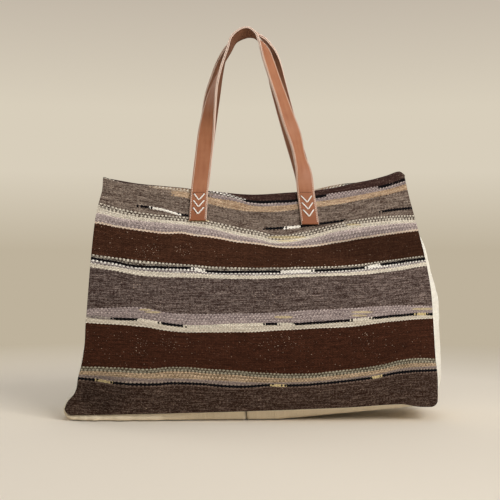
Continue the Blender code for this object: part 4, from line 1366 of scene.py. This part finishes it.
def strap_columns():
    """Places across a strap, closer together at its edges and stitch lines."""
    right = [0.002, 0.004, 0.006, 0.008, 0.0095]
    right += [STITCH_LINE + step for step in (-0.0007, -0.00035, 0.0, 0.00035, 0.0007)]
    right += [STRAP_WIDTH / 2 - step for step in (0.0008, 0.0005, 0.00025, 0.00008, 0.0)]
    return [-place for place in reversed(right)] + [0.0] + right


def groove(across, _):
    """Dip of the leather under its edge stitching."""
    return -GROOVE_DEPTH * math.exp(-((abs(across) - STITCH_LINE) / GROOVE_WIDTH) ** 2)


def ease_bends(points, stations, handle):
    """Smooth the strap where it leaves the bag."""
    near = [i for i, s in enumerate(stations) if min(abs(s), abs(s - handle.length)) < BEND_REACH]
    for _ in range(BEND_ROUNDS):
        moved = {i: [(a + 2 * b + c) / 4 for a, b, c in zip(points[i - 1], points[i], points[i + 1])]
                 for i in near}
        for i, row in moved.items():
            points[i] = row


def strap_surface(handle, offset):
    """The strap's middle surface as a table of points by distance and place across."""
    stations, columns = strap_stations(handle), strap_columns()
    points = [[handle.point(distance, across, offset) for across in columns] for distance in stations]
    ease_bends(points, stations, handle)
    return stations, columns, points


def make_strap(handle, layer, offset, material):
    """One leather layer of a handle, from the bottom of one sewn end to the other."""
    stations, columns, points = strap_surface(handle, offset)
    numbers = {across: i for i, across in enumerate(columns)}

    def place(across, row):
        return points[row][numbers[across]]

    def flat(across, row):
        return across, min(stations[row], handle.length - stations[row])

    mesh = sheet_mesh(f"{handle.label}_{layer}_leather", columns[::int(-handle.side)],
                      range(len(stations)), place, LEATHER_THICKNESS, flat, groove)
    piece = new_object(mesh.name, mesh, material)
    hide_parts(f"{handle.label}_{layer}_strap",
                f"{handle.label}_left_end_{layer}", f"{handle.label}_right_end_{layer}")
    if layer == "outer":
        punch_holes(piece, handle)
    bend(piece)


def bend(piece):
    """Bake a piece's placement into its mesh."""
    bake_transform(piece)


def chevron_places(handle, end, number):
    """The two tops and the foot of one chevron, as (across, drop from the root)."""
    top = handle.ends[end][3] + CHEVRON_PITCH * number
    half = CHEVRON_WIDTH / 2
    return (-half, top), (0.0, top + CHEVRON_HEIGHT), (half, top)


def punch_holes(piece, handle):
    """Cut the round holes that the cord goes into."""
    parts = []
    for end in handle.ends:
        for number in range(CHEVRON_COUNT):
            left, _, right = chevron_places(handle, end, number)
            for across, drop in (left, right):
                line = [handle.sewn_point(end, across, drop, STRAP_STACK * share)
                        for share in HOLE_DEPTHS]
                parts.append(tube(line, LACE_HOLE_DIAMETER / 2, TUBE_SIDES["hole"]))
    cutter = bpy.data.objects.new(piece.name + "_holes", joined(piece.name + "_holes", parts))
    bpy.context.scene.collection.objects.link(cutter)
    cut = piece.modifiers.new("Holes", "BOOLEAN")
    cut.operation, cut.solver, cut.object = "DIFFERENCE", "EXACT", cutter
    depsgraph = bpy.context.evaluated_depsgraph_get()
    piece.data = bpy.data.meshes.new_from_object(piece.evaluated_get(depsgraph))
    piece.modifiers.clear()
    bpy.data.objects.remove(cutter, do_unlink=True)


def make_lacing(handle, end, material):
    """The chevrons of one sewn end: each arm comes out of a hole and dives in at the foot."""
    parts = []
    radius = CORD_DIAMETER / 2
    outward = Vector((0.0, handle.side, 0.0))
    for number in range(CHEVRON_COUNT):
        left, (foot_across, foot_drop), right = chevron_places(handle, end, number)
        for across, drop in (left, right):
            near_foot = foot_across + math.copysign(radius / 2, across)
            line = [handle.sewn_point(end, across + (near_foot - across) * share,
                                      drop + (foot_drop - drop) * share, height)
                    for share, height in CORD_LINE]
            parts.append(tube(line, radius, TUBE_SIDES["cord"], CORD_FLATTENED, outward))
    name = f"{handle.label}_{end}_lacing"
    nodes = (f"{handle.label}_{end}_chevron_{i + 1}" for i in range(CHEVRON_COUNT))
    sewn_piece(name, joined(name, parts), material, "lacing_cord", *nodes)


def make_strap_stitching(handle, material):
    """Rows of thread down both edges of the strap."""
    _, columns, points = strap_surface(handle, OUTER_OFFSET)
    stitched = points[UNSTITCHED_ROWS:-UNSTITCHED_ROWS]
    top = LEATHER_THICKNESS / 2 - GROOVE_DEPTH
    parts = []
    for across in (-STITCH_LINE, STITCH_LINE):
        column = min(range(len(columns)), key=lambda i: abs(columns[i] - across))
        middle, beside = ([row[i] for row in stitched] for i in (column, column + 2))
        outs = [Vector(out) * -handle.side for out in normals_of(middle, beside)]
        parts += stitches_along([point + out * top for point, out in zip(middle, outs)], outs)
    name = handle.label + "_stitching"
    bend(new_object(name, joined(name, parts), material))


def make_root_stitching(handle, material):
    """A row of darker thread across the strap at each root."""
    half = STITCH_LINE - ROOT_STITCH_INSET
    parts = []
    for end in handle.ends:
        middle = [handle.sewn_point(end, across, ROOT_STITCH_DROP, OUTER_OFFSET + LEATHER_THICKNESS / 2)
                  for across in evenly(-half, half, ROOT_STEPS)]
        parts += stitches_along(middle, [Vector((0.0, handle.side, 0.0))] * len(middle))
    name = handle.label + "_root_stitching"
    sewn_piece(name, joined(name, parts), material, "leather")


def normals_of(line, beside):
    """Directions square to a strip given by two neighbouring lines."""
    line, beside = np.array(line), np.array(beside)
    normals = np.cross(np.gradient(line, axis=0), beside - line)
    return -normals / np.linalg.norm(normals, axis=1, keepdims=True)


def make_handle(label, route, materials):
    """A two-layer leather handle with its stitching and lacing."""
    handle = Handle(label + "_handle", SIDES[label], route)
    make_strap(handle, "outer", OUTER_OFFSET, materials["leather"])
    make_strap(handle, "backing", BACKING_OFFSET, materials["leather_back"])
    make_strap_stitching(handle, materials["thread"])
    make_root_stitching(handle, materials["dark_thread"])
    for end in handle.ends:
        make_lacing(handle, end, materials["cord"])


def seen_directly(s):
    """Whether a ray comes from the camera or a mirror image."""
    path = s.node("ShaderNodeLightPath").outputs
    glossy = s.math("MAXIMUM", path["Is Glossy Ray"], path["Is Transmission Ray"])
    return s.math("MAXIMUM", path["Is Camera Ray"], glossy)


def stage_material():
    """Pale floor that passes into the colour of the wall far from the bag."""
    s = Shader(bpy.data.materials.new("studio"))
    x, y, _ = s.place()
    away = s.math("SQRT", x * x + y * y)
    s.finish(Base_Color=FLOOR_COLOUR, Roughness=0.9, Specular_IOR_Level=0.2,
             Normal=s.bump(s.noise(x, y, *FLOOR_GRAIN), 0.0001, 0.2))
    glow = s.node("ShaderNodeEmission", [("Color", WALL_LOW)]).outputs[0]
    share = s.spread(away, *FLOOR_FADE) * seen_directly(s)
    s.show(share, s.tree.nodes["Principled BSDF"].outputs[0], glow, "Material Output")
    return s.owner


def make_stage():
    """Wide floor."""
    half = FLOOR_SIZE / 2
    corners = [(-half, -half, 0.0), (half, -half, 0.0), (half, half, 0.0), (-half, half, 0.0)]
    mesh = mesh_from("studio_floor", corners, [(0, 1, 2, 3)])
    mesh.materials.append(stage_material())
    floor = bpy.data.objects.new(mesh.name, mesh)
    bpy.context.scene.collection.objects.link(floor)


def make_backdrop():
    """World: light that is stronger from the right, and a pale wall where the camera looks past the floor,
    painted lighter at middle height and darker low and high.
    """
    world = bpy.data.worlds.new("studio")
    bpy.context.scene.world = world
    s = Shader(world)
    light = s.tree.nodes["Background"]
    x, _, z = s.place("Generated")
    s.put(light.inputs["Color"], LIGHT_TINT + (1.0,))
    s.put(light.inputs["Strength"], s.spread(x, -1.0, 1.0, *WORLD_STRENGTH))
    wall = s.ramp(z * WALL_STEEPNESS, WALL_TONES)
    seen = s.node("ShaderNodeBackground", [("Color", wall)]).outputs[0]
    s.show(seen_directly(s), light.outputs[0], seen, "World Output")


def make_lights():
    """Broad soft light from the front right, weaker from behind on the left and from above."""
    for name, place, target, size, power in LAMPS:
        lamp = bpy.data.lights.new(name, "AREA")
        lamp.size, lamp.energy, lamp.color = size, power, LIGHT_TINT
        item = bpy.data.objects.new(name, lamp)
        item.location = place
        item.rotation_euler = (Vector(target) - Vector(place)).to_track_quat("-Z", "Y").to_euler()
        bpy.context.scene.collection.objects.link(item)


def make_camera():
    """Camera of the photograph."""
    camera = bpy.data.cameras.new("camera")
    camera.lens = LENS_MM
    camera.sensor_width = 36.0
    item = bpy.data.objects.new("camera", camera)
    item.location = (0.0, -CAMERA_DISTANCE, CAMERA_HEIGHT)
    item.rotation_euler = (math.pi / 2, 0.0, 0.0)
    bpy.context.scene.collection.objects.link(item)
    bpy.context.scene.camera = item


def main():
    """Dress the whole bag."""
    make_camera()
    bpy.context.scene.view_settings.view_transform = "Standard"
    make_stage()
    make_backdrop()
    make_lights()
    kilim = kilim_material()
    canvas = plain_weave("canvas", CANVAS_COLOUR, CANVAS_SHADE, CANVAS_PITCH, by_the_floor=True)
    cotton = plain_weave("lining_cotton", COTTON_COLOUR, COTTON_SHADE, COTTON_PITCH)
    materials = {
        "leather": leather_material("leather", LEATHER, LEATHER_DEEP, SMOOTH_FINISH),
        "leather_back": leather_material("leather_back", LEATHER_INNER, LEATHER_INNER_DEEP, SUEDE_FINISH),
        "thread": thread_material("thread", THREAD_COLOUR, THREAD_TURNS),
        "dark_thread": thread_material("dark_thread", DARK_THREAD, THREAD_TURNS),
        "cord": thread_material("lacing_cord", CORD_COLOUR, CORD_TURNS),
    }
    for make, labels, material in ((make_panel, SIDES, kilim), (make_gusset, ENDS, canvas),
                                   (make_lining, SIDES, cotton), (make_gusset_lining, ENDS, cotton)):
        for label in labels:
            make(label, material)
    make_handle("front", FRONT_ROUTE, materials)
    make_handle("back", BACK_ROUTE, materials)


main()
